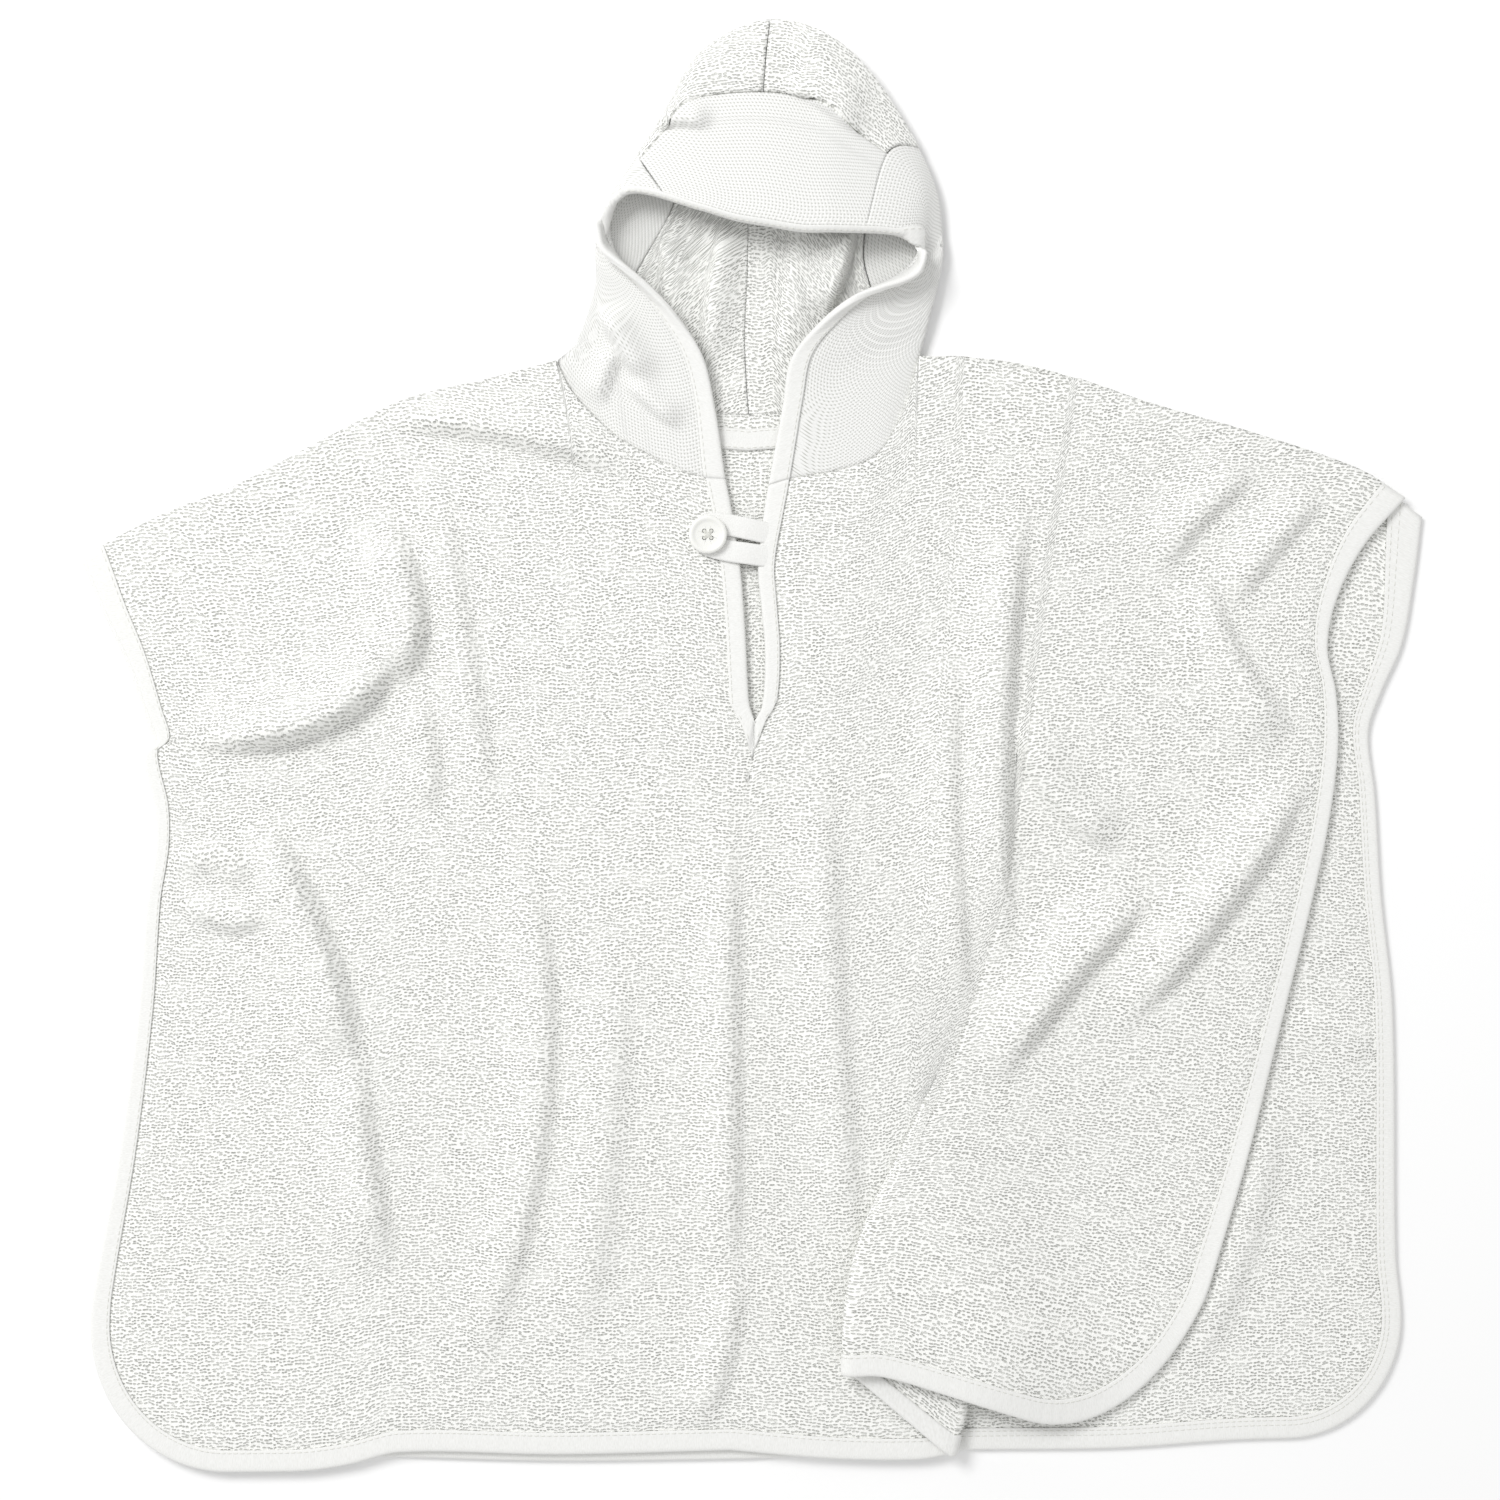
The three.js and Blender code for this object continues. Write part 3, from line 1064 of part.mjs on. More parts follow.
// Thread: a shank through the eye of the loop, four legs through the holes, two bars on top
const THREAD = 0.5;
const SHANK_RADIUS = 1.5;
const PAD_RADIUS = 2.9;
const SHANK_CLEAR = 0.5;
function makeThread() {
  const shankTop = BUTTON_Z - SEAM_GAP;
  const shankFrom = FRONT_MID + TERRY / 2 + SHANK_CLEAR;
  const barAt = BUTTON_Z + BUTTON_DISH + SEAM_GAP;
  let body = upright(SHANK_RADIUS, shankFrom, shankTop, BUTTON_AT, 10);
  body = body.add(upright(PAD_RADIUS, shankTop - THREAD_PAD, shankTop, BUTTON_AT, 12));
  for (const spot of holeSpots) {
    body = body.add(upright(THREAD, shankTop - THREAD_PAD / 2, barAt + THREAD, spot, 8));
  }
  for (const row of [[0, 1], [2, 3]]) {
    const [a, b] = row.map(k => holeSpots[k]);
    const bar = new THREE.BoxGeometry(Math.abs(a[0] - b[0]) + THREAD, THREAD * 1.8, THREAD * 1.6);
    bar.translate((a[0] + b[0]) / 2, (a[1] + b[1]) / 2, barAt + THREAD * 0.8);
    body = body.add(toManifold(bar));
  }
  return fromManifold(body);
}

// Finishes
const finish = (color, roughness) => new THREE.MeshStandardMaterial({ color, roughness, metalness: 0 });
const terry = finish(0xf1f2ed, 1);
const weave = finish(0xf4f4f1, 0.95);
const tape = finish(0xf7f7f5, 0.85);
const plastic = finish(0xeeeeea, 0.35);
const cotton = finish(0xf2f2ee, 0.8);

const pieces = [
  ['front_panel', front.wall(['front', 'edge cloth', 'slit cloth']), terry],
  ['front_edge_binding', front.tape(frontRun), tape],
  ['slit_binding', front.tape(slitRun), tape],
  ['back_panel', back.wall(['back', 'edge cloth']), terry],
  ['back_edge_binding', back.tape(backRun), tape],
  ['neck_tape', neckTape.wall(['tape']), tape],
  ['hood_left', hood.wall(['hood left']), terry],
  ['hood_right', hood.wall(['hood right']), terry],
  ['hood_band', hood.wall(['hood band']), weave],
  ['hood_binding', hood.tape(hoodRun), tape],
  ['button_loop', makeLoop(), tape],
  ['button', makeButton(), plastic],
  ['button_thread', makeThread(), cotton],
];
const poncho = new THREE.Group();
for (const [name, geometry, material] of pieces) {
  geometry.translate(-OUTLINE_MIDDLE[0], -OUTLINE_MIDDLE[1], 0);
  const mesh = new THREE.Mesh(geometry, material);
  mesh.name = name;
  poncho.add(mesh);
}
export default poncho;
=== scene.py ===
"""Hooded bath poncho for a toddler, laid flat on its back and seen from straight above.

Each cloth is made as its maker made it: a grid on the flat cut, in millimetres, is laid in place
by one function, and the tape and the stitches on it are made from points of that same function.
"""

import bmesh
import bpy
import numpy as np
from mathutils import Matrix, Vector


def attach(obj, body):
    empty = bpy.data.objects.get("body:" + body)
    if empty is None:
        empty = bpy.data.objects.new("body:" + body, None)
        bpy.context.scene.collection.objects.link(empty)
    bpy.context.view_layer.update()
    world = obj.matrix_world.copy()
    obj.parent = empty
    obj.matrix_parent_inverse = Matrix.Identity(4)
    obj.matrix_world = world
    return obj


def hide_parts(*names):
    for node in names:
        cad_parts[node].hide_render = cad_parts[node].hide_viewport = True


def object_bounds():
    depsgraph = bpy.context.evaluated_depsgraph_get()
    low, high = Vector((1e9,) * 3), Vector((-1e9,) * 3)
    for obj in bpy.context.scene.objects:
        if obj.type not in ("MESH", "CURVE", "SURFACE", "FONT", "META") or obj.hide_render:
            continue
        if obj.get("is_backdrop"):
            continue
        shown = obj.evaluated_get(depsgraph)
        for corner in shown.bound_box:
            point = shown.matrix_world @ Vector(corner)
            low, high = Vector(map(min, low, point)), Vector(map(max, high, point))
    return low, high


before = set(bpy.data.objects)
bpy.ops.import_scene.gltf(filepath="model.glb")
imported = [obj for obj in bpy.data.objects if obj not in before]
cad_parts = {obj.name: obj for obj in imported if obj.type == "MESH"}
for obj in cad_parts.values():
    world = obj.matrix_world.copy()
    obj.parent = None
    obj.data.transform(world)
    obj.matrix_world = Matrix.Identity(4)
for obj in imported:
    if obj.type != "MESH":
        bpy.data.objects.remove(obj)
cad_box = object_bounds()
scene = bpy.context.scene
collection = scene.collection


# Camera, table and light. The photograph is taken from straight above, from far off, in very soft
# light from all round that is a little stronger from the upper left. The ground is plain white.
PHOTO_WIDTH = 0.705
PHOTO_MIDDLE = (-0.00061, -0.0015)
LENS = 80
SENSOR = 36
CLOTH_HEIGHT = 0.008
TABLE_SIZE = 6
TABLE_DROP = 0.0003
LAMP_AT = Vector((-1.3, 1.2, 2.1))
LAMP_SIZE = 1.0
LAMP_WATTS = 41
SKY = 0.70

camera_data = bpy.data.cameras.new("camera")
camera_data.lens = LENS
camera_data.sensor_width = SENSOR
camera = bpy.data.objects.new("camera", camera_data)
camera.location = (*PHOTO_MIDDLE, CLOTH_HEIGHT + PHOTO_WIDTH * LENS / SENSOR)
collection.objects.link(camera)
scene.camera = camera
scene.view_settings.view_transform = "Standard"

lamp_data = bpy.data.lights.new("window", "AREA")
lamp_data.size = LAMP_SIZE
lamp_data.energy = LAMP_WATTS
lamp = bpy.data.objects.new("window", lamp_data)
lamp.location = LAMP_AT
lamp.rotation_euler = LAMP_AT.to_track_quat("Z", "Y").to_euler()
collection.objects.link(lamp)

world = bpy.data.worlds.new("studio")
world.use_nodes = True
world.node_tree.nodes["Background"].inputs["Color"].default_value = (1, 1, 1, 1)
world.node_tree.nodes["Background"].inputs["Strength"].default_value = SKY
scene.world = world


def linear(hex_colour):
    """Linear colour of an sRGB hex value"""
    parts = [int(hex_colour[k:k + 2], 16) / 255 for k in (1, 3, 5)]
    return (*(p / 12.92 if p <= 0.04045 else ((p + 0.055) / 1.055) ** 2.4 for p in parts), 1)


def new_material(name):
    material = bpy.data.materials.new(name)
    material.use_nodes = True
    return material, material.node_tree, material.node_tree.nodes["Principled BSDF"]


def add_node(tree, kind, links=(), **settings):
    """Adds a node. links: (input, value or socket); settings: the node's own properties."""
    node = tree.nodes.new("ShaderNode" + kind)
    for name, value in settings.items():
        setattr(node, name, value)
    for name, value in links:
        if isinstance(value, bpy.types.NodeSocket):
            tree.links.new(value, node.inputs[name])
        else:
            node.inputs[name].default_value = value
    return node


paper, _, shader = new_material("white_seamless_paper")
shader.inputs["Base Color"].default_value = linear("#FCFCFC")
shader.inputs["Roughness"].default_value = 1
shader.inputs["Specular IOR Level"].default_value = 0
table_mesh = bpy.data.meshes.new("table")
table_shape = bmesh.new()
bmesh.ops.create_grid(table_shape, x_segments=1, y_segments=1, size=TABLE_SIZE / 2)
bmesh.ops.translate(table_shape, verts=table_shape.verts, vec=(0, 0, -TABLE_DROP))
table_shape.to_mesh(table_mesh)
table_mesh.materials.append(paper)
table_top = bpy.data.objects.new("table", table_mesh)
collection.objects.link(table_top)
table_top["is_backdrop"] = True


# Front panel: one piece of looped terry towelling, 640 mm wide in the cut, with sloping
# shoulders, a neck scoop, a slit down its middle and round lower corners. It lies over the back
# in soft folds, and at the lower right it is pleated over itself. Its edges are squeezed thin
# inside the binding.
TERRY = 3.0
SQUEEZED = 1.0
TAPE_WIDTH = 10
FULL_PILE_AT = 13.5
CLOTH_EDGE = 1.5
HALF_WIDTH = 320
HEM = -341
TIP = 90
NECK_HALF = 85
NECK_POINT = 175
FRONT_NECK = 120
FRONT_CORNER = 70
SLIT_END = 5.7
SLIT_MITRE = 1.9
SLIT_TURNED = 0.72
FRONT_MID = 6.0
SHOULDER_MID = 5.4
SHOULDER_FALL = 16
NECK_POINT_EASE = 6
PLEAT_START = 103
PLEAT_END = 163
PLEAT_LOW_RADIUS = 2.5
PLEAT_HIGH_RADIUS = 3.6
PLEAT_EASE = 4
PLEAT_FOLDED = np.radians(50)
PLEAT_CLEAR = 5
PLEAT_RUN_OUT = 75
# From the drawing's middle to the middle of the whole outline, which is the origin
OUTLINE_MIDDLE = np.array((-0.80, -0.38, 0))
MM = 0.001


def table(columns, *rows):
    return dict(zip(columns.split(), np.array(rows, float).T))


def smooth(t):
    k = np.clip(t, 0, 1)
    return k * k * (3 - 2 * k)


def mix(a, b, t):
    return a + (b - a) * t


def through(keys, values, at):
    """Smooth values between rows. values: one row for each key, or one for each key and point."""
    values = np.asarray(values, float)
    keys = np.asarray(keys, float)
    at = np.clip(np.asarray(at, float), keys[0], keys[-1])
    low = np.concatenate(([0], np.arange(len(keys) - 1)))
    high = np.concatenate((np.arange(1, len(keys)), [len(keys) - 1]))
    wide = (slice(None),) + (None,) * (values.ndim - 1)
    slopes = (values[high] - values[low]) / (keys[high] - keys[low])[wide]
    row = np.clip(np.searchsorted(keys, at, side="left") - 1, 0, len(keys) - 2)
    each = (np.arange(at.size),) if values.ndim == 3 else ()
    span = keys[row + 1] - keys[row]
    t = (at - keys[row]) / span
    if values.ndim > 1:
        span, t = span[:, None], t[:, None]
    a, b = values[(row, *each)], values[(row + 1, *each)]
    slope_a, slope_b = slopes[(row, *each)] * span, slopes[(row + 1, *each)] * span
    start = (2 * t**3 - 3 * t**2 + 1) * a + (t**3 - 2 * t**2 + t) * slope_a
    return start + (3 * t**2 - 2 * t**3) * b + (t**3 - t**2) * slope_b


def line(rows, key, at):
    return np.stack([through(rows[key], rows[c], at) for c in "xy"], -1)


# Where the front's edges lie. down: share of the way from the top edge to the hem.
FRONT_LEFT = table(
    "down x y",
    (0.000, -315, 90), (0.060, -304, 63), (0.115, -293, 40), (0.175, -284, 15), (0.208, -280, 1),
    (0.220, -286, -4), (0.280, -281, -30), (0.330, -281, -50), (0.380, -285, -74),
    (0.500, -289, -125), (0.655, -298, -192), (0.780, -308, -246), (0.830, -311, -267),
    (1.000, -313, -341))
FRONT_RIGHT = table(
    "down x y",
    (0.000, 307, 117), (0.064, 287, 94), (0.128, 274, 68), (0.176, 270, 46), (0.222, 274, 25),
    (0.275, 275, 0), (0.349, 271, -34), (0.433, 263, -72), (0.546, 250, -124),
    (0.695, 233, -191), (0.833, 215, -252), (0.886, 207, -276), (1.000, 189, -336))
SLIT_LEFT = table(
    "down x y",
    (0.000, -13.2, 125.5), (0.036, -9.9, 109), (0.091, -6.2, 84), (0.156, -3.9, 54),
    (0.230, -2.0, 20), (0.252, 0.6, 9.5), (0.320, -2, -20), (0.550, -9.5, -127),
    (1.000, -11, -331))
SLIT_RIGHT = table(
    "down x y",
    (0.000, 7.5, 122.7), (0.036, 5.0, 107), (0.091, 2.6, 84), (0.130, 4.2, 66), (0.180, 6.0, 42),
    (0.230, 4.6, 19), (0.252, 0.6, 9.5), (0.320, -2, -20), (0.550, -9.5, -127),
    (1.000, -11, -331))
# Neck and shoulder seams and hem. out: from the middle of the cut to its side.
NECK_LEFT = table(
    "out x y",
    (0, -13.2, 125.5), (12, -24, 126.5), (26, -37, 131), (42, -51, 138), (58, -65, 146),
    (70, -76, 156), (79, -86, 168), (85, -92.6, 181.4))
NECK_RIGHT = table(
    "out x y",
    (0, 7.5, 122.7), (10, 17, 125.5), (36, 42, 130), (52, 57, 136), (66, 66, 148),
    (77, 73, 164), (85, 78, 183.3))
SHOULDER_LEFT = table(
    "out x y",
    (85, -92.6, 181.4), (118, -124, 173), (160, -164, 163), (196, -198, 146.5),
    (245, -245, 122), (278, -276, 110), (320, -315, 90))
SHOULDER_RIGHT = table(
    "out x y",
    (85, 78, 183.3), (119, 111, 182.5), (151, 142, 176.5), (199, 187, 161.5), (252, 237, 147),
    (300, 286, 130), (320, 307, 117))
HEM_LEFT = table(
    "out x y",
    (0, -11, -331), (83, -91, -333), (163, -166, -332), (190, -191, -338), (215, -215, -341),
    (320, -313, -341))
HEM_LOWER = table(
    "out x y", (0, -11, -331), (48, 37, -335), (88, 77, -335.5), (103, 92, -333))
HEM_UPPER = table(
    "out x y",
    (163, 46, -294), (176, 60, -294), (206, 88, -302), (245, 124, -314), (320, 189, -336))
# Fold lines of the pleat. turn: degrees that each is turned over. rise: of the upper layer.
PLEAT = table(
    "down lowX lowY highX highY turn rise",
    (0.00, 95.6, 183.4, 153.4, 173, 0, 0), (0.25, 90, 56, 136, 54, 0, 0),
    (0.50, 80, -74, 118, -68, 0, 0), (0.66, 73, -158, 95, -146, 16, 1.2),
    (0.77, 74, -214, 75, -192, 62, 5), (0.86, 86, -262, 56, -228, 150, 10.5),
    (0.93, 98, -298, 48, -260, 180, 13.5), (1.00, 92, -333, 46, -294, 180, 14))
# Folds of the front, each a bow from a to c past b. The crest is steep on its shaded side: the
# right-hand side on the way from a to c, or the left where steep is less than zero.
FOLD_COLUMNS = "ax ay bx by cx cy high steep gentle"
FRONT_FOLDS = table(
    FOLD_COLUMNS,
    (-186, 153, -128, 157, -50, 126, 5, 5, 15),      # collar roll
    (-150, 139, -135, 48, -122, -40, 2.6, -5, 12),   # left drop
    (-180, 112, -143, 62, -172, 26, 8, -7, 20),      # tuck roll, upper
    (-166, 50, -188, -4, -274, 4, 9, -6, 18),        # tuck roll, lower
    (-160, 28, -147, -4, -153, -34, 3, -5, 12),      # tuck end
    (-275, -56, -250, -40, -232, -66, 4, -5, 9),     # left bump
    (-268, -68, -252, -92, -226, -78, 4, 5, 9),      # left bump, lower
    (-236, -30, -196, -86, -186, -160, 7, -6, 18),   # long left fold
    (-188, -140, -184, -190, -170, -250, 5, -6, 16),  # long left fold, foot
    (-114, -36, -72, -160, -138, -310, 3.5, -7, 16),  # middle left fold
    (-64, -80, -66, -200, -84, -290, 2.5, -12, 14),  # broad swell
    (-12, -20, -10, -160, -10, -262, 4, -5, 13),     # middle fold
    (-9, -240, -8, -290, -28, -322, 3, -6, 12),      # middle fold, foot
    (30, 10, 38, -150, 48, -262, 3, -9, 14),         # middle right fold
    (128, 124, 110, 20, 119, -116, 5.5, -6, 16),     # right drop
    (94, 62, 88, -50, 102, -140, 3, -6, 12),         # right drop, inner
    (238, 132, 208, 112, 188, 80, 4, -6, 13),        # shoulder fan, first
    (268, 120, 244, 98, 222, 64, 4, -6, 12),         # shoulder fan, second
    (208, 86, 226, 26, 256, 6, 5, -6, 15),           # shoulder fan, third
    (122, 22, 138, -40, 176, -46, 5, 6, 14),         # elbow fold
    (190, -66, 146, -102, 110, -162, 6.5, -7, 18),   # side fan, inner
    (262, -8, 230, -70, 166, -138, 6, -7, 18))       # side fan, outer
BACK_FOLDS = table(
    FOLD_COLUMNS,
    (246, -156, 240, -240, 200, -302, 2.4, -9, 12),  # side ridge
    (250, -126, 276, -128, 294, -148, 1.8, -7, 10))  # side hollow
BOW_STEPS = 8
FOLD_FADE = 0.3
LEVEL_MIDDLE = (-8, 99.2)
LEVEL_NEAR = 24
LEVEL_FAR = 52
EVEN_REACH = 42
EVEN_SHARE = 0.45
EVEN_STEPS = np.linspace(-1, 1, 9)
EVEN_BY = 0.22
# Cloth stands higher in a fold and turns down more sharply than the plain solids do
SHARPER = 0.6
HIGHER = 1.5


def fold_height(folds, x, y):
    """Height that the folds of a table add at places on the table"""
    height = np.zeros_like(x)
    for k in range(len(folds["high"])):
        f = {column: values[k] for column, values in folds.items()}
        t = np.linspace(0, 1, BOW_STEPS + 1)
        bow_x = (1 - t) ** 2 * f["ax"] + 2 * t * (1 - t) * f["bx"] + t**2 * f["cx"]
        bow_y = (1 - t) ** 2 * f["ay"] + 2 * t * (1 - t) * f["by"] + t**2 * f["cy"]
        nearest = np.full_like(x, np.inf)
        across = np.zeros_like(x)
        along = np.zeros_like(x)
        for j in range(BOW_STEPS):
            length = np.hypot(bow_x[j + 1] - bow_x[j], bow_y[j + 1] - bow_y[j])
            ux = (bow_x[j + 1] - bow_x[j]) / length
            uy = (bow_y[j + 1] - bow_y[j]) / length
            dx, dy = x - bow_x[j], y - bow_y[j]
            at = np.clip((dx * ux + dy * uy) / length, 0, 1)
            gap = np.hypot(dx - at * length * ux, dy - at * length * uy)
            closer = gap < nearest
            nearest = np.where(closer, gap, nearest)
            across = np.where(closer, np.sign(dx * uy - dy * ux) * gap, across)
            along = np.where(closer, (j + at) / BOW_STEPS, along)
        side = across * np.sign(f["steep"])
        width = np.where(side > 0, SHARPER * abs(f["steep"]), f["gentle"])
        fade = smooth(along / FOLD_FADE) * smooth((1 - along) / FOLD_FADE)
        height += HIGHER * f["high"] * fade * np.exp(-((side / width) ** 2))
    return height


def top_line(X, neck):
    """Top of a cut: the round neck, then the straight slope of the shoulder"""
    out = np.abs(X)
    scoop = np.sqrt(np.clip(1 - (out / NECK_HALF) ** 2, 0, 1))
    slope = mix(NECK_POINT, TIP, (out - NECK_HALF) / (HALF_WIDTH - NECK_HALF))
    return np.where(out >= NECK_HALF, slope, neck + (NECK_POINT - neck) * (1 - scoop))


def top_of(neck, shoulder):
    return lambda out: np.where(
        (out < NECK_HALF)[:, None], line(neck, "out", out), line(shoulder, "out", out))


def coons(left, right, top, hem, across, down):
    """A patch between four laid edges, each a function of 0 to 1"""
    zero, one = np.zeros_like(across), np.ones_like(across)
    u, v = across[:, None], down[:, None]
    ruled = mix(left(down), right(down), u) + mix(top(across), hem(across), v)
    return ruled - mix(mix(top(zero), top(one), u), mix(hem(zero), hem(one), u), v)


front_top_left = top_of(NECK_LEFT, SHOULDER_LEFT)
front_top_right = top_of(NECK_RIGHT, SHOULDER_RIGHT)


def evened(top, out, down):
    """The laid top line. Deeper down its corner at the neck point is evened out, as in the cut."""
    reach = np.minimum(EVEN_REACH, EVEN_SHARE * out)
    even = np.mean([top(out + k * reach) for k in EVEN_STEPS], axis=0)
    return mix(top(out), even, smooth(down / EVEN_BY)[:, None])


def down_cut(X, Y, neck):
    """Share of the way down a cut. Below its top the corner at the neck point is evened out."""
    top = top_line(X, neck)
    share = (top - Y) / (top - HEM)
    reach = np.minimum(EVEN_REACH, EVEN_SHARE * np.abs(X))
    even = np.mean([top_line(X + k * reach, neck) for k in EVEN_STEPS], axis=0)
    return mix(share, (even - Y) / (even - HEM), smooth(share / EVEN_BY))


def low_fold(down):
    return np.stack([through(PLEAT["down"], PLEAT[c], down) for c in ("lowX", "lowY")], -1)


def high_fold(down):
    return np.stack([through(PLEAT["down"], PLEAT[c], down) for c in ("highX", "highY")], -1)


def front_height(place, X, below, lift):
    """Adds the height to places of the front. below: how far they are from the top of the cut."""
    x, y = place.T
    on_shoulder = smooth((np.abs(X) - NECK_HALF + NECK_POINT_EASE) / (2 * NECK_POINT_EASE))
    fall = on_shoulder * (1 - smooth(below / SHOULDER_FALL))
    away = np.hypot(x - LEVEL_MIDDLE[0], y - LEVEL_MIDDLE[1])
    level = smooth((away - LEVEL_NEAR) / (LEVEL_FAR - LEVEL_NEAR))
    folds = fold_height(FRONT_FOLDS, x, y) * level * (1 - fall) + fold_height(BACK_FOLDS, x, y)
    return np.column_stack((x, y, mix(FRONT_MID, SHOULDER_MID, fall) + lift + folds))


def lay_front_left(X, Y):
    down, below = down_cut(X, Y, FRONT_NECK), top_line(X, FRONT_NECK) - Y
    place = coons(
        lambda t: line(SLIT_LEFT, "down", t), lambda t: line(FRONT_LEFT, "down", t),
        lambda t: evened(front_top_left, t * HALF_WIDTH, down),
        lambda t: line(HEM_LEFT, "out", t * HALF_WIDTH), -X / HALF_WIDTH, down)
    return front_height(place, X, below, 0)


def lay_inner(X, down, below):
    place = coons(
        lambda t: line(SLIT_RIGHT, "down", t), low_fold,
        lambda t: evened(front_top_right, t * PLEAT_START, down),
        lambda t: line(HEM_LOWER, "out", t * PLEAT_START),
        X / PLEAT_START, down)
    return front_height(place, X, below, 0)


def lay_fan(X, down, below):
    place = coons(
        high_fold, lambda t: line(FRONT_RIGHT, "down", t),
        lambda t: evened(front_top_right, mix(PLEAT_END, HALF_WIDTH, t), down),
        lambda t: line(HEM_UPPER, "out", mix(PLEAT_END, HALF_WIDTH, t)),
        (X - PLEAT_END) / (HALF_WIDTH - PLEAT_END), down)
    past = place[:, 0] - np.maximum(high_fold(down)[:, 0], low_fold(down)[:, 0]) - PLEAT_CLEAR
    rise = through(PLEAT["down"], PLEAT["rise"], down) * (1 - smooth(past / PLEAT_RUN_OUT))
    return front_height(place, X, below, rise)


def lay_front_inner(X, Y):
    return lay_inner(X, down_cut(X, Y, FRONT_NECK), top_line(X, FRONT_NECK) - Y)


def lay_front_fan(X, Y):
    return lay_fan(X, down_cut(X, Y, FRONT_NECK), top_line(X, FRONT_NECK) - Y)


def lay_pleat(X, Y):
    """Round the low fold, back along the middle layer, and round the high fold"""
    part = 3 * (X - PLEAT_START) / (PLEAT_END - PLEAT_START)
    down, below = down_cut(X, Y, FRONT_NECK), top_line(X, FRONT_NECK) - Y
    turn = np.radians(through(PLEAT["down"], PLEAT["turn"], down))
    low = lay_inner(np.full_like(X, PLEAT_START), down, below)
    high = lay_fan(np.full_like(X, PLEAT_END), down, below)
    ease = PLEAT_EASE * (1 - turn / np.pi)

    def around(fold, radius, sign, t):
        step = sign * (radius * np.sin(turn * t) + ease * t)
        rise = sign * radius * (1 - np.cos(turn * t))
        return fold + np.column_stack((step, np.zeros_like(step), rise))

    first = around(low, PLEAT_LOW_RADIUS, 1, np.clip(part, 0, 1))
    last = around(high, PLEAT_HIGH_RADIUS, -1, np.clip(3 - part, 0, 1))
    place = mix(first, last, np.clip(part - 1, 0, 1)[:, None])
    folded = smooth(turn / PLEAT_FOLDED)[:, None]
    return mix(front_height(place[:, :2], X, below, 0), place, folded)


def walked_pleat(X, Y):
    """Cut place across the pleat by the length walked over it, so that loops keep their size"""
    steps = np.linspace(PLEAT_START, PLEAT_END, 31)
    rows, row_of = np.unique(Y.round(1), return_inverse=True)
    net = lay_pleat(np.tile(steps, len(rows)), np.repeat(rows, len(steps)))
    walked = np.linalg.norm(np.diff(net.reshape(len(rows), len(steps), 3), axis=1), axis=2)
    walked = np.column_stack((np.zeros(len(rows)), np.cumsum(walked, axis=1)))
    walked = PLEAT_START + (PLEAT_END - PLEAT_START) * walked / walked[:, -1:]
    share = (X - PLEAT_START) / (PLEAT_END - PLEAT_START) * (len(steps) - 1)
    low = np.clip(share.astype(int), 0, len(steps) - 2)
    return mix(walked[row_of, low], walked[row_of, low + 1], share - low)


def lay_front(X, Y):
    """Where points of the front's cut lie"""
    X, Y = np.broadcast_arrays(np.asarray(X, float), np.asarray(Y, float))
    place = np.zeros((X.size, 3))
    for lay, there in (
            (lay_front_left, X <= 0), (lay_front_inner, (X > 0) & (X <= PLEAT_START)),
            (lay_pleat, (X > PLEAT_START) & (X < PLEAT_END)), (lay_front_fan, X >= PLEAT_END)):
        if there.any():
            place[there] = lay(X[there], Y[there])
    return place


def rim_place(run, inset, neck, corner):
    """Cut place by the run round side, hem and side, in mm from the left tip, and its inset"""
    straight = TIP - (HEM + corner)
    bow = corner * np.pi / 2
    total = rim_length(corner)
    half_run = np.minimum(run, total - run)
    angle = np.clip((half_run - straight) / corner, 0, np.pi / 2)
    out = HALF_WIDTH - corner + (corner - inset) * np.cos(angle)
    out = out - np.clip(half_run - straight - bow, 0, None)
    Y = HEM + corner - (corner - inset) * np.sin(angle) + np.clip(straight - half_run, 0, None)
    slope = top_line(HALF_WIDTH - inset, neck) - TIP
    Y = Y + slope * np.clip(1 - half_run / TAPE_WIDTH, 0, 1)
    return np.where(run < total / 2, -out, out), Y


def rim_length(corner):
    return 2 * (TIP - HEM - corner) + corner * np.pi + 2 * (HALF_WIDTH - corner)


def rim_depth(X, Y, corner):
    """How far places of a cut are in from its side and hem"""
    out = np.abs(X)
    dx, dy = out - (HALF_WIDTH - corner), HEM + corner - Y
    round_depth = corner - np.hypot(dx, dy)
    straight_depth = np.minimum(HALF_WIDTH - out, Y - HEM)
    return np.where((dx > 0) & (dy > 0), round_depth, straight_depth)


def slit_place(run, inset):
    """Cut place by the run down the slit's left edge and up its right, 0 to 2, and its inset.
    The right-hand tape is turned up a little, so that it looks narrower."""
    down = 1 - np.abs(run - 1)
    last = np.clip((down - 1) / MITRE_SHARE + 1, 0, 1)
    straight = mix(top_line(inset, FRONT_NECK), SLIT_END, np.minimum(down, 1 - MITRE_SHARE))
    turned = np.where(run > 1, mix(1, SLIT_TURNED, smooth(2 * down) * (1 - last)), 1)
    X = np.sign(run - 1) * np.maximum(turned * inset * (1 - last), JUST)
    return X, mix(straight, SLIT_END - SLIT_MITRE * inset, last)


JUST = 1e-6
SLIT_ROWS = 8
MITRE_SHARE = 0.07
ROWS_IN_ALL = 27
SLIT_SHARE = SLIT_ROWS / ROWS_IN_ALL
MIDDLE_FROM = SLIT_END - 5.4


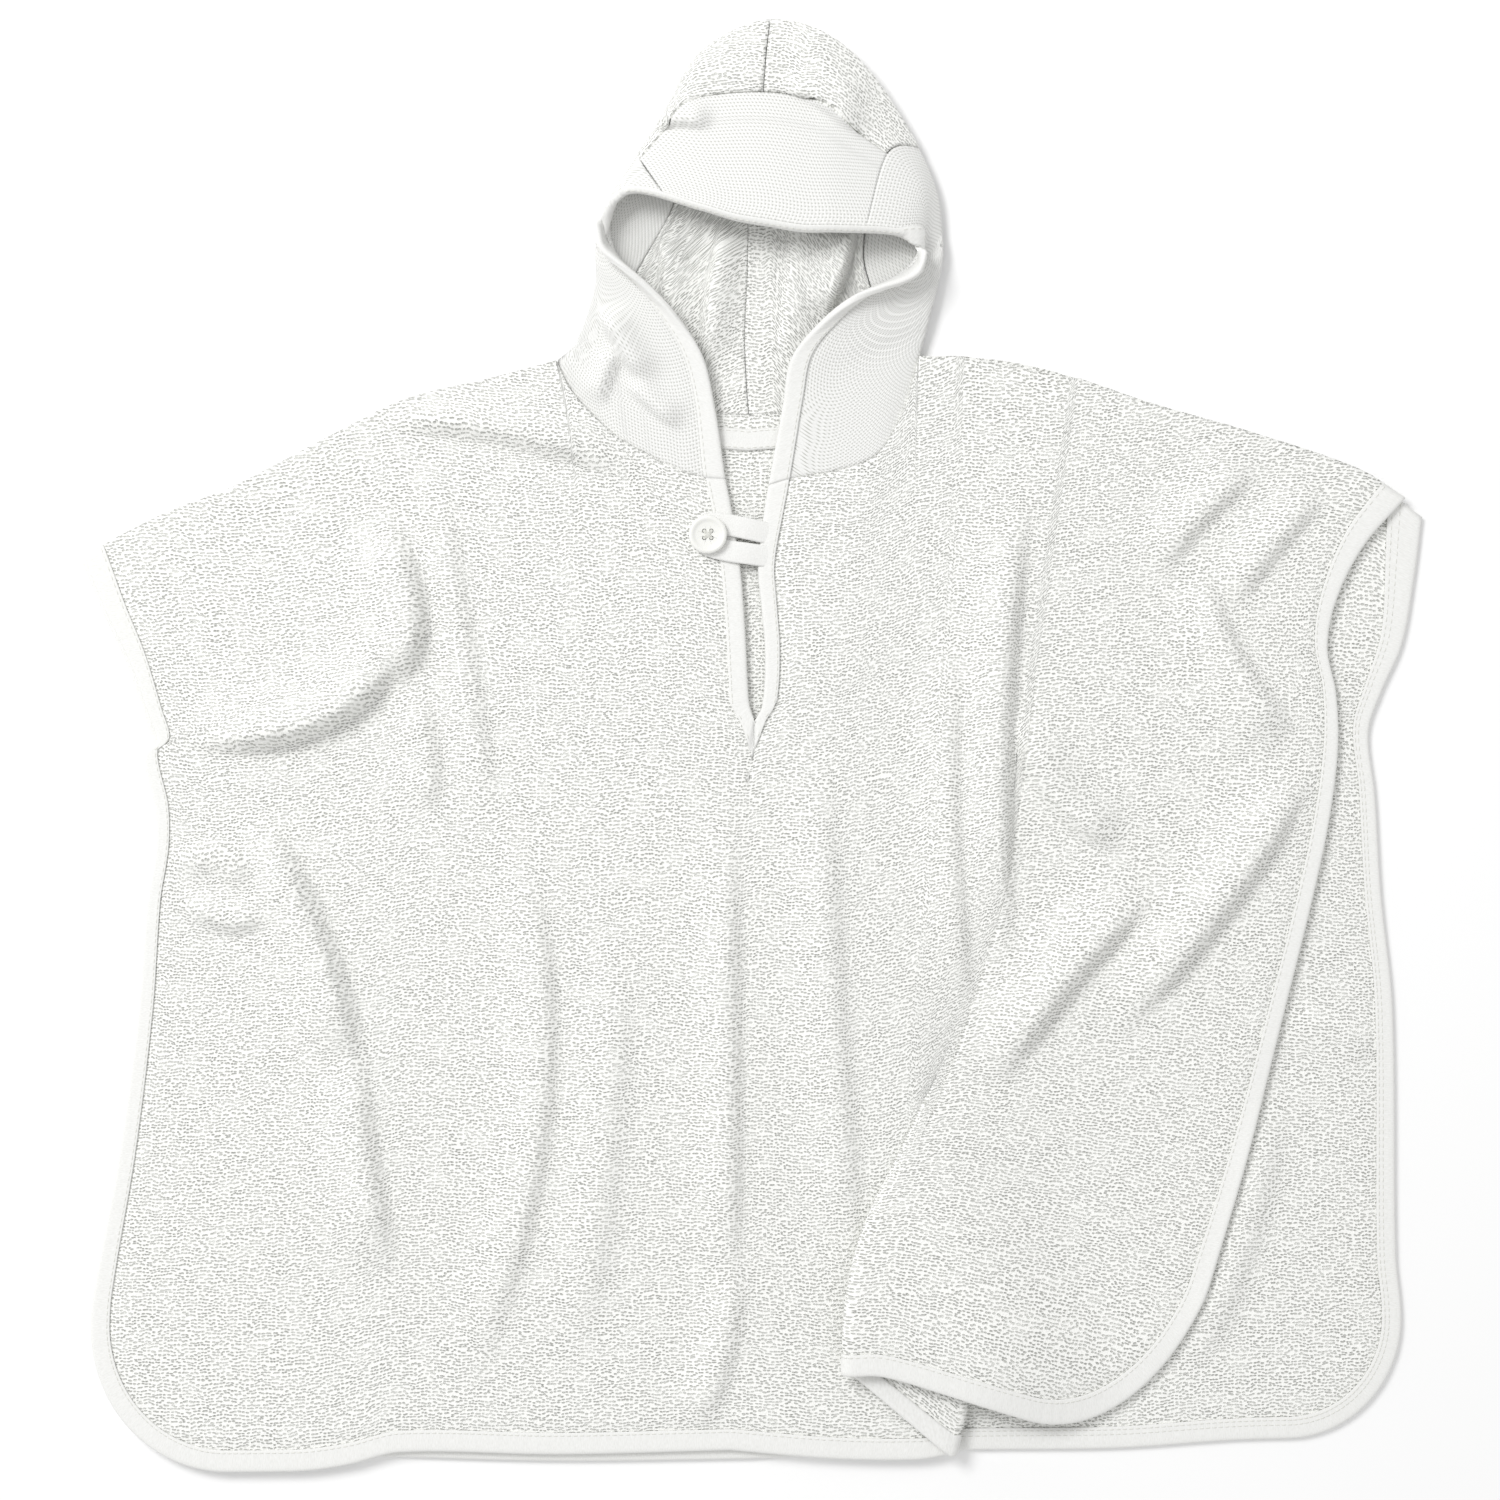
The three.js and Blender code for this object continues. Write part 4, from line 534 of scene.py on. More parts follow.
def middle_edge(sign):
    """Down the slit's edge, then down the middle of the cut"""
    def edge(v):
        slit = v < SLIT_SHARE
        X = np.where(slit, CLOTH_EDGE * np.clip((SLIT_SHARE - v) * ROWS_IN_ALL, 0, 1), 0)
        top = top_line(CLOTH_EDGE, FRONT_NECK)
        Y = np.where(
            slit, mix(top, MIDDLE_FROM, v / SLIT_SHARE),
            mix(MIDDLE_FROM, HEM + CLOTH_EDGE, (v - SLIT_SHARE) / (1 - SLIT_SHARE)))
        return np.column_stack((sign * np.maximum(X, JUST * (sign > 0)), Y))
    return edge


def straight_edge(X, neck):
    return lambda v: np.column_stack(
        (np.full_like(v, X), mix(top_line(X, neck), HEM + CLOTH_EDGE, v)))


def side_edge(sign, neck, corner):
    """Down the side of a cut to the middle of its round corner"""
    length = TIP - (HEM + corner) + corner * np.pi / 4

    def edge(v):
        X, Y = rim_place(v * length, CLOTH_EDGE, neck, corner)
        return np.column_stack((-sign * X, Y))
    return edge


def hem_edge(sign, neck, corner, inner):
    """Along the hem, from the middle of the round corner in to a given place"""
    start = TIP - (HEM + corner) + corner * np.pi / 4
    length = corner * np.pi / 4 + HALF_WIDTH - corner - inner

    def edge(u):
        X, Y = rim_place(start + u * length, CLOTH_EDGE, neck, corner)
        return np.column_stack((-sign * X, Y))
    return edge


def top_edge(start, end, neck):
    """Along the top, with its points closest where the neck turns up to the neck point"""
    def spread(X):
        out = np.abs(X)
        round_part = NECK_HALF * np.arcsin(np.clip(out / NECK_HALF, 0, 1))
        return np.sign(X) * (round_part + np.clip(out - NECK_HALF, 0, None))

    def gather(s):
        length = np.abs(s)
        turn = np.clip(length / NECK_HALF, 0, np.pi / 2)
        past = np.clip(length - NECK_HALF * np.pi / 2, 0, None)
        return np.sign(s) * (NECK_HALF * np.sin(turn) + past)

    def edge(u):
        X = gather(mix(spread(start), spread(end), u))
        return np.column_stack((X, top_line(X, neck)))
    return edge


def fill(top, hem, left, right, u, v):
    return coons(left, right, top, hem, u, v)


# Terry: cotton towelling, woven with uncut loops that stand 2 to 3 mm high. It gives a matt,
# speckled white: bright loops in rows, with a short gap under each that wanders a little. The
# gaps are painted dark with the shade that falls between the loops, and a random mottle paints
# more or less of that shade from place to place.
LOOPS_APART = 1.9
ROWS_APART = 1.65
GAP_LENGTH = 1.35
GAP_HEIGHT = 0.62
WANDER = 2.2
WANDER_SIZE = 9
MOTTLE = 11
FIBRE = 0.7


def cloth_place(tree, across, along):
    """The piece's own cut coordinates, in mm, counted in steps of a pattern"""
    cut = add_node(tree, "UVMap", uv_map="cut")
    return add_node(tree, "Mapping", [
        ("Vector", cut.outputs["UV"]), ("Scale", (1 / across, 1 / along, 1))]).outputs["Vector"]


def terry_material(name, gap, loop, crown):
    material, tree, shader = new_material(name)
    wander = add_node(tree, "TexNoise", [
        ("Vector", cloth_place(tree, WANDER_SIZE, WANDER_SIZE)), ("Scale", 1.0),
        ("Detail", 2.0)])
    shift = add_node(tree, "VectorMath", [
        (0, wander.outputs["Color"]), (1, (WANDER, WANDER, 0))], operation="MULTIPLY")
    steps = add_node(tree, "VectorMath", [
        (0, cloth_place(tree, LOOPS_APART, ROWS_APART)), (1, shift.outputs[0])],
        operation="ADD")
    cells = add_node(tree, "TexVoronoi", [
        ("Vector", steps.outputs[0]), ("Scale", 1.0), ("Randomness", 0.55)],
        voronoi_dimensions="2D")
    aside = add_node(tree, "VectorMath", [
        (0, steps.outputs[0]), (1, cells.outputs["Position"])], operation="SUBTRACT")
    aside = add_node(tree, "VectorMath", [
        (0, aside.outputs[0]),
        (1, (2 * LOOPS_APART / GAP_LENGTH, 2 * ROWS_APART / GAP_HEIGHT, 0))],
        operation="MULTIPLY")
    far = add_node(tree, "VectorMath", [(0, aside.outputs[0])], operation="LENGTH")
    fibres = add_node(tree, "TexNoise", [
        ("Vector", cloth_place(tree, FIBRE, FIBRE)), ("Scale", 1.0), ("Detail", 1.0)])
    mottle = add_node(tree, "TexNoise", [
        ("Vector", cloth_place(tree, MOTTLE, MOTTLE)), ("Scale", 1.0), ("Detail", 4.0),
        ("Roughness", 0.65)])
    loops = add_node(tree, "MapRange", [
        ("Value", far.outputs["Value"]), ("From Min", 0.4), ("From Max", 1.35)])
    shut = add_node(tree, "MapRange", [
        ("Value", mottle.outputs["Fac"]), ("From Min", 0.34), ("From Max", 0.68),
        ("To Min", 0.1), ("To Max", 0.6)])
    pile = add_node(tree, "Math", [
        (0, loops.outputs["Result"]), (1, shut.outputs["Result"])], operation="MAXIMUM")
    pile = add_node(tree, "Math", [
        (0, fibres.outputs["Fac"]), (1, 0.45), (2, pile.outputs[0])], operation="MULTIPLY_ADD")
    # Painted shade: the ramp runs from the dark gap colour, the shade between the loops, up through
    # the loop colour to the cloth's own white at the crowns.
    colour = add_node(tree, "ValToRGB", [("Fac", add_node(tree, "Math", [
        (0, pile.outputs[0]), (1, 0.69)], operation="MULTIPLY").outputs[0])])
    ramp = colour.color_ramp
    ramp.elements[0].position, ramp.elements[0].color = 0.12, linear(gap)
    ramp.elements[1].position, ramp.elements[1].color = 0.88, linear(crown)
    ramp.elements.new(0.62).color = linear(loop)
    tree.links.new(colour.outputs["Color"], shader.inputs["Base Color"])
    bump = add_node(tree, "Bump", [
        ("Height", pile.outputs[0]), ("Strength", 0.9), ("Distance", 0.0009)])
    tree.links.new(bump.outputs["Normal"], shader.inputs["Normal"])
    shader.inputs["Roughness"].default_value = 1
    shader.inputs["Specular IOR Level"].default_value = 0.1
    shader.inputs["Sheen Weight"].default_value = 0.2
    shader.inputs["Sheen Roughness"].default_value = 0.6
    return material


# The first colour, #ACADA6, is painted shade in the gaps between the loops.
terry = terry_material("terry_towelling", "#ACADA6", "#EFF0EB", "#FDFDFA")


def add_piece(name, mesh, material, slot):
    mesh.materials.append(material)
    piece = bpy.data.objects.new(name, mesh)
    collection.objects.link(piece)
    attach(piece, "root")
    return piece


def cloth_piece(name, grids, thick, thin, material, slot):
    """A cloth from grids (across, down, lay). lay gives each point's place, cut and fullness."""
    piece_mesh = bpy.data.meshes.new(name)
    shape = bmesh.new()
    counts = []
    for across, down, _ in grids:
        bmesh.ops.create_grid(shape, x_segments=across, y_segments=down, size=1)
        counts.append(len(shape.verts))
    shape.to_mesh(piece_mesh)
    shape.free()
    flat = np.zeros(len(piece_mesh.vertices) * 3)
    piece_mesh.vertices.foreach_get("co", flat)
    flat = flat.reshape(-1, 3)
    places, cuts, fulls = np.zeros_like(flat), np.zeros((len(flat), 2)), np.ones(len(flat))
    for (across, down, lay), start, end in zip(grids, [0, *counts], counts):
        u, v = (flat[start:end, 0] + 1) / 2, (1 - flat[start:end, 1]) / 2
        places[start:end], cuts[start:end], fulls[start:end] = lay(u, v, across, down)
    places = (places - OUTLINE_MIDDLE) * MM
    piece_mesh.vertices.foreach_set("co", places.ravel())
    corner = np.zeros(len(piece_mesh.loops), int)
    piece_mesh.loops.foreach_get("vertex_index", corner)
    piece_mesh.uv_layers.new(name="cut").data.foreach_set("uv", cuts[corner].ravel())
    piece = add_piece(name, piece_mesh, material, slot)
    group = piece.vertex_groups.new(name="full pile")
    for full in np.unique(fulls.round(2)):
        group.add(np.nonzero(fulls.round(2) == full)[0].tolist(), full, "REPLACE")
    shape = bmesh.new()
    shape.from_mesh(piece_mesh)
    bmesh.ops.remove_doubles(shape, verts=shape.verts, dist=0.02 * MM)
    shape.to_mesh(piece_mesh)
    shape.free()
    piece_mesh.shade_smooth()
    wall = piece.modifiers.new("wall", "SOLIDIFY")
    wall.thickness = thick * MM
    wall.offset = 0
    wall.vertex_group = group.name
    wall.thickness_vertex_group = thin / thick
    return piece


def full_pile(depth):
    return np.clip((depth - TAPE_WIDTH) / (FULL_PILE_AT - TAPE_WIDTH), 0, 1)


def front_grid(top, hem, left, right, lay):
    def place(u, v, across, down):
        cut = fill(top, hem, left, right, u, v)
        X, Y = cut.T
        slit_depth = np.abs(X) + np.clip(SLIT_END - Y, 0, None) / SLIT_MITRE
        depth = np.minimum(rim_depth(X, Y, FRONT_CORNER), slit_depth)
        places = lay(X, Y)
        joined = (np.abs(X) <= JUST) & (Y <= MIDDLE_FROM)
        if joined.any():
            places[joined] = lay_front_left(0 * X[joined], Y[joined])
        if lay is lay_pleat:
            cut = np.column_stack((walked_pleat(X, Y), Y))
        return places, cut, full_pile(depth)
    return place


FRONT_DOWN = 162
low_line = straight_edge(PLEAT_START, FRONT_NECK)
high_line = straight_edge(PLEAT_END, FRONT_NECK)
front_grids = [
    (110, FRONT_DOWN, front_grid(
        top_edge(CLOTH_EDGE - HALF_WIDTH, -CLOTH_EDGE, FRONT_NECK),
        hem_edge(-1, FRONT_NECK, FRONT_CORNER, 0),
        side_edge(-1, FRONT_NECK, FRONT_CORNER), middle_edge(-1), lay_front_left)),
    (38, FRONT_DOWN, front_grid(
        top_edge(CLOTH_EDGE, PLEAT_START, FRONT_NECK),
        lambda u: np.column_stack((mix(JUST, PLEAT_START, u), np.full_like(u, HEM + CLOTH_EDGE))),
        middle_edge(1), low_line, lay_front_inner)),
    (48, FRONT_DOWN, front_grid(
        top_edge(PLEAT_START, PLEAT_END, FRONT_NECK),
        lambda u: np.column_stack(
            (mix(PLEAT_START, PLEAT_END, u), np.full_like(u, HEM + CLOTH_EDGE))),
        low_line, high_line, lay_pleat)),
    (54, FRONT_DOWN, front_grid(
        top_edge(PLEAT_END, HALF_WIDTH - CLOTH_EDGE, FRONT_NECK),
        lambda u: hem_edge(1, FRONT_NECK, FRONT_CORNER, PLEAT_END)(1 - u),
        high_line, side_edge(1, FRONT_NECK, FRONT_CORNER), lay_front_fan)),
]
front_panel = cloth_piece("front_cloth", front_grids, TERRY, SQUEEZED, terry, "terry")
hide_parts("front_panel")


# Bindings: smooth cotton tape, folded over the raw edge and sewn through with one row of
# stitches near its inner edge. It is 10 mm wide when folded and stands a little proud.
TAPE = 0.8
STITCH_INSET = 8.6
STITCH_LENGTH = 2.4
STITCH_PITCH = 3.2
STITCH_RADIUS = 0.24
STITCHES_AT_ONCE = 24
TAPE_SECTION = table(
    "inset height",
    (10.0, 1.15), (9.2, 1.28), (7.6, 1.30), (5.0, 1.32), (2.6, 1.32), (1.2, 1.22), (0.45, 0.95),
    (0.12, 0.45), (0.12, -0.45), (0.45, -0.95), (1.2, -1.22), (2.6, -1.3), (5.0, -1.3),
    (7.6, -1.3), (10.0, -1.2))
NEAR = 0.05
STEP_SHARE = 1e-4


def tape_material():
    """Cotton sateen tape: a fine flat weave, so it is even, bright and hardly shines"""
    material, tree, shader = new_material("cotton_binding_tape")
    weave = add_node(tree, "TexNoise", [
        ("Vector", cloth_place(tree, 0.9, 0.5)), ("Scale", 1.0), ("Detail", 2.0)])
    pucker = add_node(tree, "TexNoise", [
        ("Vector", cloth_place(tree, 9, 4.5)), ("Scale", 1.0), ("Detail", 1.0)])
    height = add_node(tree, "Math", [
        (0, weave.outputs["Fac"]), (1, 0.25), (2, pucker.outputs["Fac"])],
        operation="MULTIPLY_ADD")
    tint = add_node(tree, "ValToRGB", [("Fac", weave.outputs["Fac"])])
    tint.color_ramp.elements[0].position = 0.3
    tint.color_ramp.elements[0].color = linear("#E8E8E5")
    tint.color_ramp.elements[1].position = 0.7
    tint.color_ramp.elements[1].color = linear("#F3F3F1")
    tree.links.new(tint.outputs["Color"], shader.inputs["Base Color"])
    bump = add_node(tree, "Bump", [
        ("Height", height.outputs[0]), ("Strength", 0.5), ("Distance", 0.0006)])
    tree.links.new(bump.outputs["Normal"], shader.inputs["Normal"])
    shader.inputs["Roughness"].default_value = 0.85
    shader.inputs["Specular IOR Level"].default_value = 0.25
    return material


tape_cotton = tape_material()
thread_cotton, _, shader = new_material("cotton_sewing_thread")
shader.inputs["Base Color"].default_value = linear("#E0E0DA")
shader.inputs["Roughness"].default_value = 0.7


def tape_frame(lay, run, inset, step):
    """Place, direction along the run and normal of the cloth at places beside its edge"""
    ahead, behind = lay(run + step, inset), lay(run - step, inset)
    along = ahead - behind
    inwards = lay(run, inset + NEAR) - lay(run, np.maximum(inset - NEAR, 0))
    along /= np.maximum(np.linalg.norm(along, axis=1, keepdims=True), 1e-9)
    normal = np.cross(along, inwards)
    normal /= np.maximum(np.linalg.norm(normal, axis=1, keepdims=True), 1e-9)
    return lay(run, inset), along, normal


def tape_piece(name, lay, start, end, length, steps, up_sign):
    """Tape round an edge. lay gives places by run and inset; run goes from start to end."""
    step = (end - start) * STEP_SHARE

    def place(u, v, across, down):
        run = np.clip(mix(start, end, v), start + step, end - step)
        knot = u * (len(TAPE_SECTION["inset"]) - 1)
        knots = np.arange(len(TAPE_SECTION["inset"]))
        inset = np.interp(knot, knots, TAPE_SECTION["inset"])
        height = np.interp(knot, knots, TAPE_SECTION["height"])
        base, _, normal = tape_frame(lay, run, inset, step)
        cut = np.column_stack((knot, v * length))
        return base + up_sign * normal * height[:, None], cut, np.ones_like(u)

    across = 2 * (len(TAPE_SECTION["inset"]) - 1)
    piece = cloth_piece(name, [(across, steps, place)], TAPE, TAPE, tape_cotton, "binding_tape")
    return piece


def stitch_row(name, lay, start, end, length, inset, height, up_sign):
    """Lockstitches along a run, each a short rounded bar half sunk in the tape"""
    count = int(length / STITCH_PITCH)
    run = mix(start, end, (np.arange(count) + 0.5) / count)
    step = (end - start) * STEP_SHARE
    base, along, normal = tape_frame(lay, run, np.full(count, float(inset)), step)
    base = (base + up_sign * normal * height - OUTLINE_MIDDLE) * MM
    up = normal * up_sign
    size = Matrix.Diagonal((STITCH_LENGTH / 2 * MM, STITCH_RADIUS * MM, STITCH_RADIUS * MM, 1))
    row_mesh = bpy.data.meshes.new(name)
    shape = bmesh.new()
    for first in range(0, count, STITCHES_AT_ONCE):
        few = bmesh.new()
        for k in range(first, min(first + STITCHES_AT_ONCE, count)):
            turn = Matrix((along[k], np.cross(up[k], along[k]), up[k])).transposed().to_4x4()
            bmesh.ops.create_uvsphere(
                few, u_segments=6, v_segments=4, radius=1,
                matrix=Matrix.Translation(base[k]) @ turn @ size)
        few.to_mesh(row_mesh)
        few.free()
        shape.from_mesh(row_mesh)
    shape.to_mesh(row_mesh)
    shape.free()
    row_mesh.shade_smooth()
    return add_piece(name, row_mesh, thread_cotton, "thread")


STITCH_HEIGHT = 1.72
front_rim = rim_length(FRONT_CORNER)


def lay_front_rim(run, inset):
    return lay_front(*rim_place(run, inset, FRONT_NECK, FRONT_CORNER))


def lay_slit_rim(run, inset):
    return lay_front(*slit_place(run, inset))


front_binding = tape_piece("front_binding", lay_front_rim, 0, front_rim, front_rim, 520, 1)
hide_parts("front_edge_binding")
stitch_row(
    "front_binding_stitches", lay_front_rim, 0, front_rim, front_rim,
    STITCH_INSET, STITCH_HEIGHT, 1)
SLIT_RUN = 240
slit_binding = tape_piece("slit_tape", lay_slit_rim, 0, 2, SLIT_RUN, 128, -1)
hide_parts("slit_binding")
stitch_row("slit_stitches", lay_slit_rim, 0.01, 1.99, SLIT_RUN, STITCH_INSET, STITCH_HEIGHT, -1)


# Back panel: the same cut with a shallow neck and no slit. It lies on the table, and its inside
# shows at the right of the front, in the slit and inside the neck.
BACK_NECK = 150
BACK_CORNER = 58
BACK_MID = 1.5
TAPE_HALF_HEIGHT = 1.7
SECOND_ROW_NEARER = 2.2
BACK_LEFT = table(
    "down x y",
    (0.00, -317, 88.5), (0.06, -306, 62), (0.12, -295, 38), (0.21, -283, 0), (0.32, -279, -46),
    (0.50, -287, -124), (0.78, -304, -246), (1.00, -309, -336))
BACK_RIGHT = table(
    "down x y",
    (0.000, 315.4, 108), (0.060, 312, 81), (0.135, 306, 48), (0.190, 296, 25), (0.235, 290, 6),
    (0.290, 293, -22), (0.400, 296, -70), (0.530, 301.5, -124), (0.800, 303, -240),
    (0.860, 305.5, -266), (1.000, 306, -326))
BACK_MIDDLE = table("down x y", (0, -2, 156.2), (0.5, -5, -90), (1, -3, -336))
BACK_NECK_LEFT = table("out x y", (0, -2, 156.2), (50, -52, 162), (85, -92.6, 181.4))
BACK_NECK_RIGHT = table("out x y", (0, -2, 156.2), (50, 44, 162), (85, 78, 183.3))
BACK_SHOULDER_LEFT = {key: column.copy() for key, column in SHOULDER_LEFT.items()}
BACK_SHOULDER_RIGHT = {key: column.copy() for key, column in SHOULDER_RIGHT.items()}
for shoulder, tip in ((BACK_SHOULDER_LEFT, BACK_LEFT), (BACK_SHOULDER_RIGHT, BACK_RIGHT)):
    shoulder["x"][-1], shoulder["y"][-1] = tip["x"][0], tip["y"][0]
BACK_HEM_LEFT = table(
    "out x y", (0, -3, -336), (90, -93, -337), (180, -180, -335), (320, -309, -336))
BACK_HEM_RIGHT = table(
    "out x y",
    (0, -3, -336), (98, 95, -332), (175, 171, -331), (240, 232, -327), (320, 306, -326))
back_top_left = top_of(BACK_NECK_LEFT, BACK_SHOULDER_LEFT)
back_top_right = top_of(BACK_NECK_RIGHT, BACK_SHOULDER_RIGHT)


def lay_back(X, Y):
    """Where points of the back's cut lie"""
    X, Y = np.broadcast_arrays(np.asarray(X, float), np.asarray(Y, float))
    place = np.zeros((X.size, 2))
    for there, side, top, hem in (
            (X <= 0, BACK_LEFT, back_top_left, BACK_HEM_LEFT),
            (X > 0, BACK_RIGHT, back_top_right, BACK_HEM_RIGHT)):
        if not there.any():
            continue
        down = down_cut(X[there], Y[there], BACK_NECK)
        place[there] = coons(
            lambda t: line(BACK_MIDDLE, "down", t), lambda t: line(side, "down", t),
            lambda t: evened(top, t * HALF_WIDTH, down),
            lambda t: line(hem, "out", t * HALF_WIDTH), np.abs(X[there]) / HALF_WIDTH, down)
    x, y = place.T
    proud = (TAPE_HALF_HEIGHT - BACK_MID) * (1 - full_pile(rim_depth(X, Y, BACK_CORNER)))
    return np.column_stack((x, y, BACK_MID + proud + fold_height(BACK_FOLDS, x, y)))


def back_grid(sign):
    edges = (
        top_edge(sign * (HALF_WIDTH - CLOTH_EDGE), 0, BACK_NECK),
        hem_edge(sign, BACK_NECK, BACK_CORNER, 0),
        side_edge(sign, BACK_NECK, BACK_CORNER), straight_edge(0, BACK_NECK))

    def place(u, v, across, down):
        cut = fill(*edges, u if sign < 0 else 1 - u, v)
        return lay_back(*cut.T), cut, full_pile(rim_depth(*cut.T, BACK_CORNER))
    return place


back_panel = cloth_piece(
    "back_cloth", [(90, 130, back_grid(-1)), (90, 130, back_grid(1))], TERRY, SQUEEZED, terry,
    "terry")
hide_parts("back_panel")
back_rim = rim_length(BACK_CORNER)


def lay_back_rim(run, inset):
    return lay_back(*rim_place(run, inset, BACK_NECK, BACK_CORNER))


back_binding = tape_piece("back_binding", lay_back_rim, 0, back_rim, back_rim, 520, 1)
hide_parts("back_edge_binding")
for inset in (STITCH_INSET, STITCH_INSET - SECOND_ROW_NEARER):
    stitch_row(
        f"back_binding_stitches_{inset:.0f}", lay_back_rim, 0, back_rim, back_rim,
        inset, STITCH_HEIGHT, 1)


# Neck tape: flat tape sewn over the seam of hood and back, inside the neck, so that the seam
# doesn't scratch. It is held by a row of stitches along each edge.
NECK_TAPE_FROM = 7
NECK_TAPE_HALF = 66
NECK_TAPE_OVER = 0.3
NECK_TAPE_LIFT = TERRY / 2 + NECK_TAPE_OVER + TAPE / 2
NECK_TAPE_ROWS = (1.2, 8.8)


def lay_neck_tape(X, below):
    place = lay_back(X, top_line(X, BACK_NECK) - NECK_TAPE_FROM - below)
    place[:, 2] += NECK_TAPE_LIFT
    return place


def neck_tape_grid(u, v, across, down):
    X = mix(-NECK_TAPE_HALF, NECK_TAPE_HALF, u)
    below = v * TAPE_WIDTH
    return lay_neck_tape(X, below), np.column_stack((below, X)), np.ones_like(u)


neck_tape = cloth_piece(
    "neck_seam_tape", [(60, 8, neck_tape_grid)], TAPE, TAPE, tape_cotton, "binding_tape")
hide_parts("neck_tape")
for below in NECK_TAPE_ROWS:
    stitch_row(
        f"neck_tape_stitches_{below:.0f}", lay_neck_tape, -NECK_TAPE_HALF, NECK_TAPE_HALF,
        2 * NECK_TAPE_HALF, below, TAPE / 2, -1)


# Hood: two halves of terry with a seam from the nape over the crown, an open-weave band 60 mm
# wide round the whole face, and binding on the band's edge. It lies with its mouth open: the
# back of the hood is on the table and its top is turned back over it towards the face.
WEAVE = 2.0
HOOD_AROUND = (-1, -0.62, -0.3, -0.15, 0, 0.15, 0.3, 0.62, 1)
TURN_AT = 0.62
# Arcs from the neck seam up to the face edge, each through nine places: left lip, left side,
# left back (two), seam, right back (two), right side, right lip
HOOD_ARCS = (
    ((-18, 158, 9), (-82, 189, 5.4), (-46, 180, 1.5), (-25, 174, 1.5), (-3, 170, 1.5),
     (18, 174, 1.5), (38, 180, 1.5), (79, 190, 5.4), (14, 158, 9)),
    ((-24, 183, 12), (-77, 201, 6.5), (-46, 200, 1.5), (-26, 196, 1.5), (-4, 193, 1.5),
     (20, 196, 1.5), (43, 200, 1.5), (82, 202, 6.5), (18, 181, 12)),
    ((-36, 201, 14), (-73, 217, 7), (-44, 226, 1.5), (-25, 224, 1.5), (-3, 221, 1.5),
     (22, 224, 1.5), (46, 226, 1.5), (86, 217, 7), (31, 197, 14)),
    ((-48, 213, 14), (-73, 231, 7), (-41, 254, 1.5), (-22.5, 254, 1.5), (-2, 252, 1.5),
     (22, 256, 1.5), (46, 257, 1.5), (88.5, 232, 7), (46, 208, 14)),
    ((-58, 221, 14), (-72, 243, 4.5), (-38, 280, 1.5), (-20, 289, 1.5), (1, 293, 1.5),
     (25, 290, 1.5), (48, 285, 1.5), (88, 244, 4.5), (60, 213, 14)),
    ((-65, 226, 14), (-67, 257, 6), (-38, 296, 7), (-22, 325.5, 7.5), (8, 339.8, 8),
     (39, 330, 7.5), (64, 302.5, 7), (86, 256, 6.5), (70, 216, 13.5)),
    ((-71, 232, 14.5), (-63, 260, 13), (-41, 288, 14), (-28, 302, 15), (5, 305.5, 17),
     (31, 300.5, 17), (46, 289, 16.5), (77, 262, 13), (78, 221, 14)),
    ((-74, 244, 16), (-58, 259, 21), (-22, 249, 26), (-7, 244.3, 26.8), (8, 241.4, 27),
     (22.5, 239, 26.8), (37, 239, 26), (66, 238.3, 21), (81, 231, 16)))
# Creases of the hood: inside its back, on its front at the left, and on the top turned back
HOOD_BACK_FOLDS = table(
    FOLD_COLUMNS,
    (-12, 250, -20, 215, -22, 178, 4.5, 3.5, 10),    # deep crease left of the seam
    (22, 262, 20, 225, 14, 180, 3, 4, 12),           # right of the seam
    (46, 250, 44, 226, 32, 200, 6, -3.5, 12),        # right pocket
    (-40, 246, -42, 222, -36, 190, 3, 4, 10))        # beside the left band
HOOD_FRONT_FOLDS = table(
    FOLD_COLUMNS,
    (-72, 206, -62, 188, -50, 168, 5, 2.6, 9),       # long crease of the left band
    (-60, 172, -48, 160, -34, 149, 3.5, 2.6, 8),     # below it
    (-62, 188, -69, 176, -73, 160, 3, -3, 7),        # at the side
    (56, 243, 64, 232, 68, 216, 2.5, 3, 7))          # right band
HOOD_TOP_FOLDS = table(
    FOLD_COLUMNS,
    (-48, 290, -36, 295, -18, 289, 4, 3, 8),         # left end of the band
    (12, 311, 34, 302, 52, 284, 4, 3.5, 9),          # along the seam at the right
    (14, 334, 36, 318, 52, 296, 2.5, 8, 12),         # hollow of the crown
    (-34, 312, -10, 318, 16, 312, 2, 6, 12))         # across the crown
# Where the creases of each part begin or end, and over which share they fade
BACK_ENDS_UP = (0.6, 0.1)
BACK_ENDS_OUT = (0.38, 0.14)
FRONT_FROM = (0.5, 0.12)
FRONT_ENDS_UP = (0.72, 0.14)
TOP_FROM = (0.68, 0.07)
HOOD_FLOOR = 1.5
NECK_SEAM_AWAY = 0.05
NECK_MIDDLE = (-5, 190)
NECK_POINT_MID = 4.2
NECK_FALL_FROM = 0.6
NECK_FALL_BEHIND = 0.28
BAND_SIDE = 0.45
BAND_SIDE_UP = (0, 0.3, 0.4, 0.5, 0.6, 0.75, 0.875, 1)
BAND_SIDE_LEFT = (0.45, 0.43, 0.37, 0.27, 0.27, 0.38, 0.45, 0.45)
BAND_SIDE_RIGHT = (0.45, 0.38, 0.34, 0.36, 0.40, 0.44, 0.45, 0.45)
BAND_TOP = 7 / 8
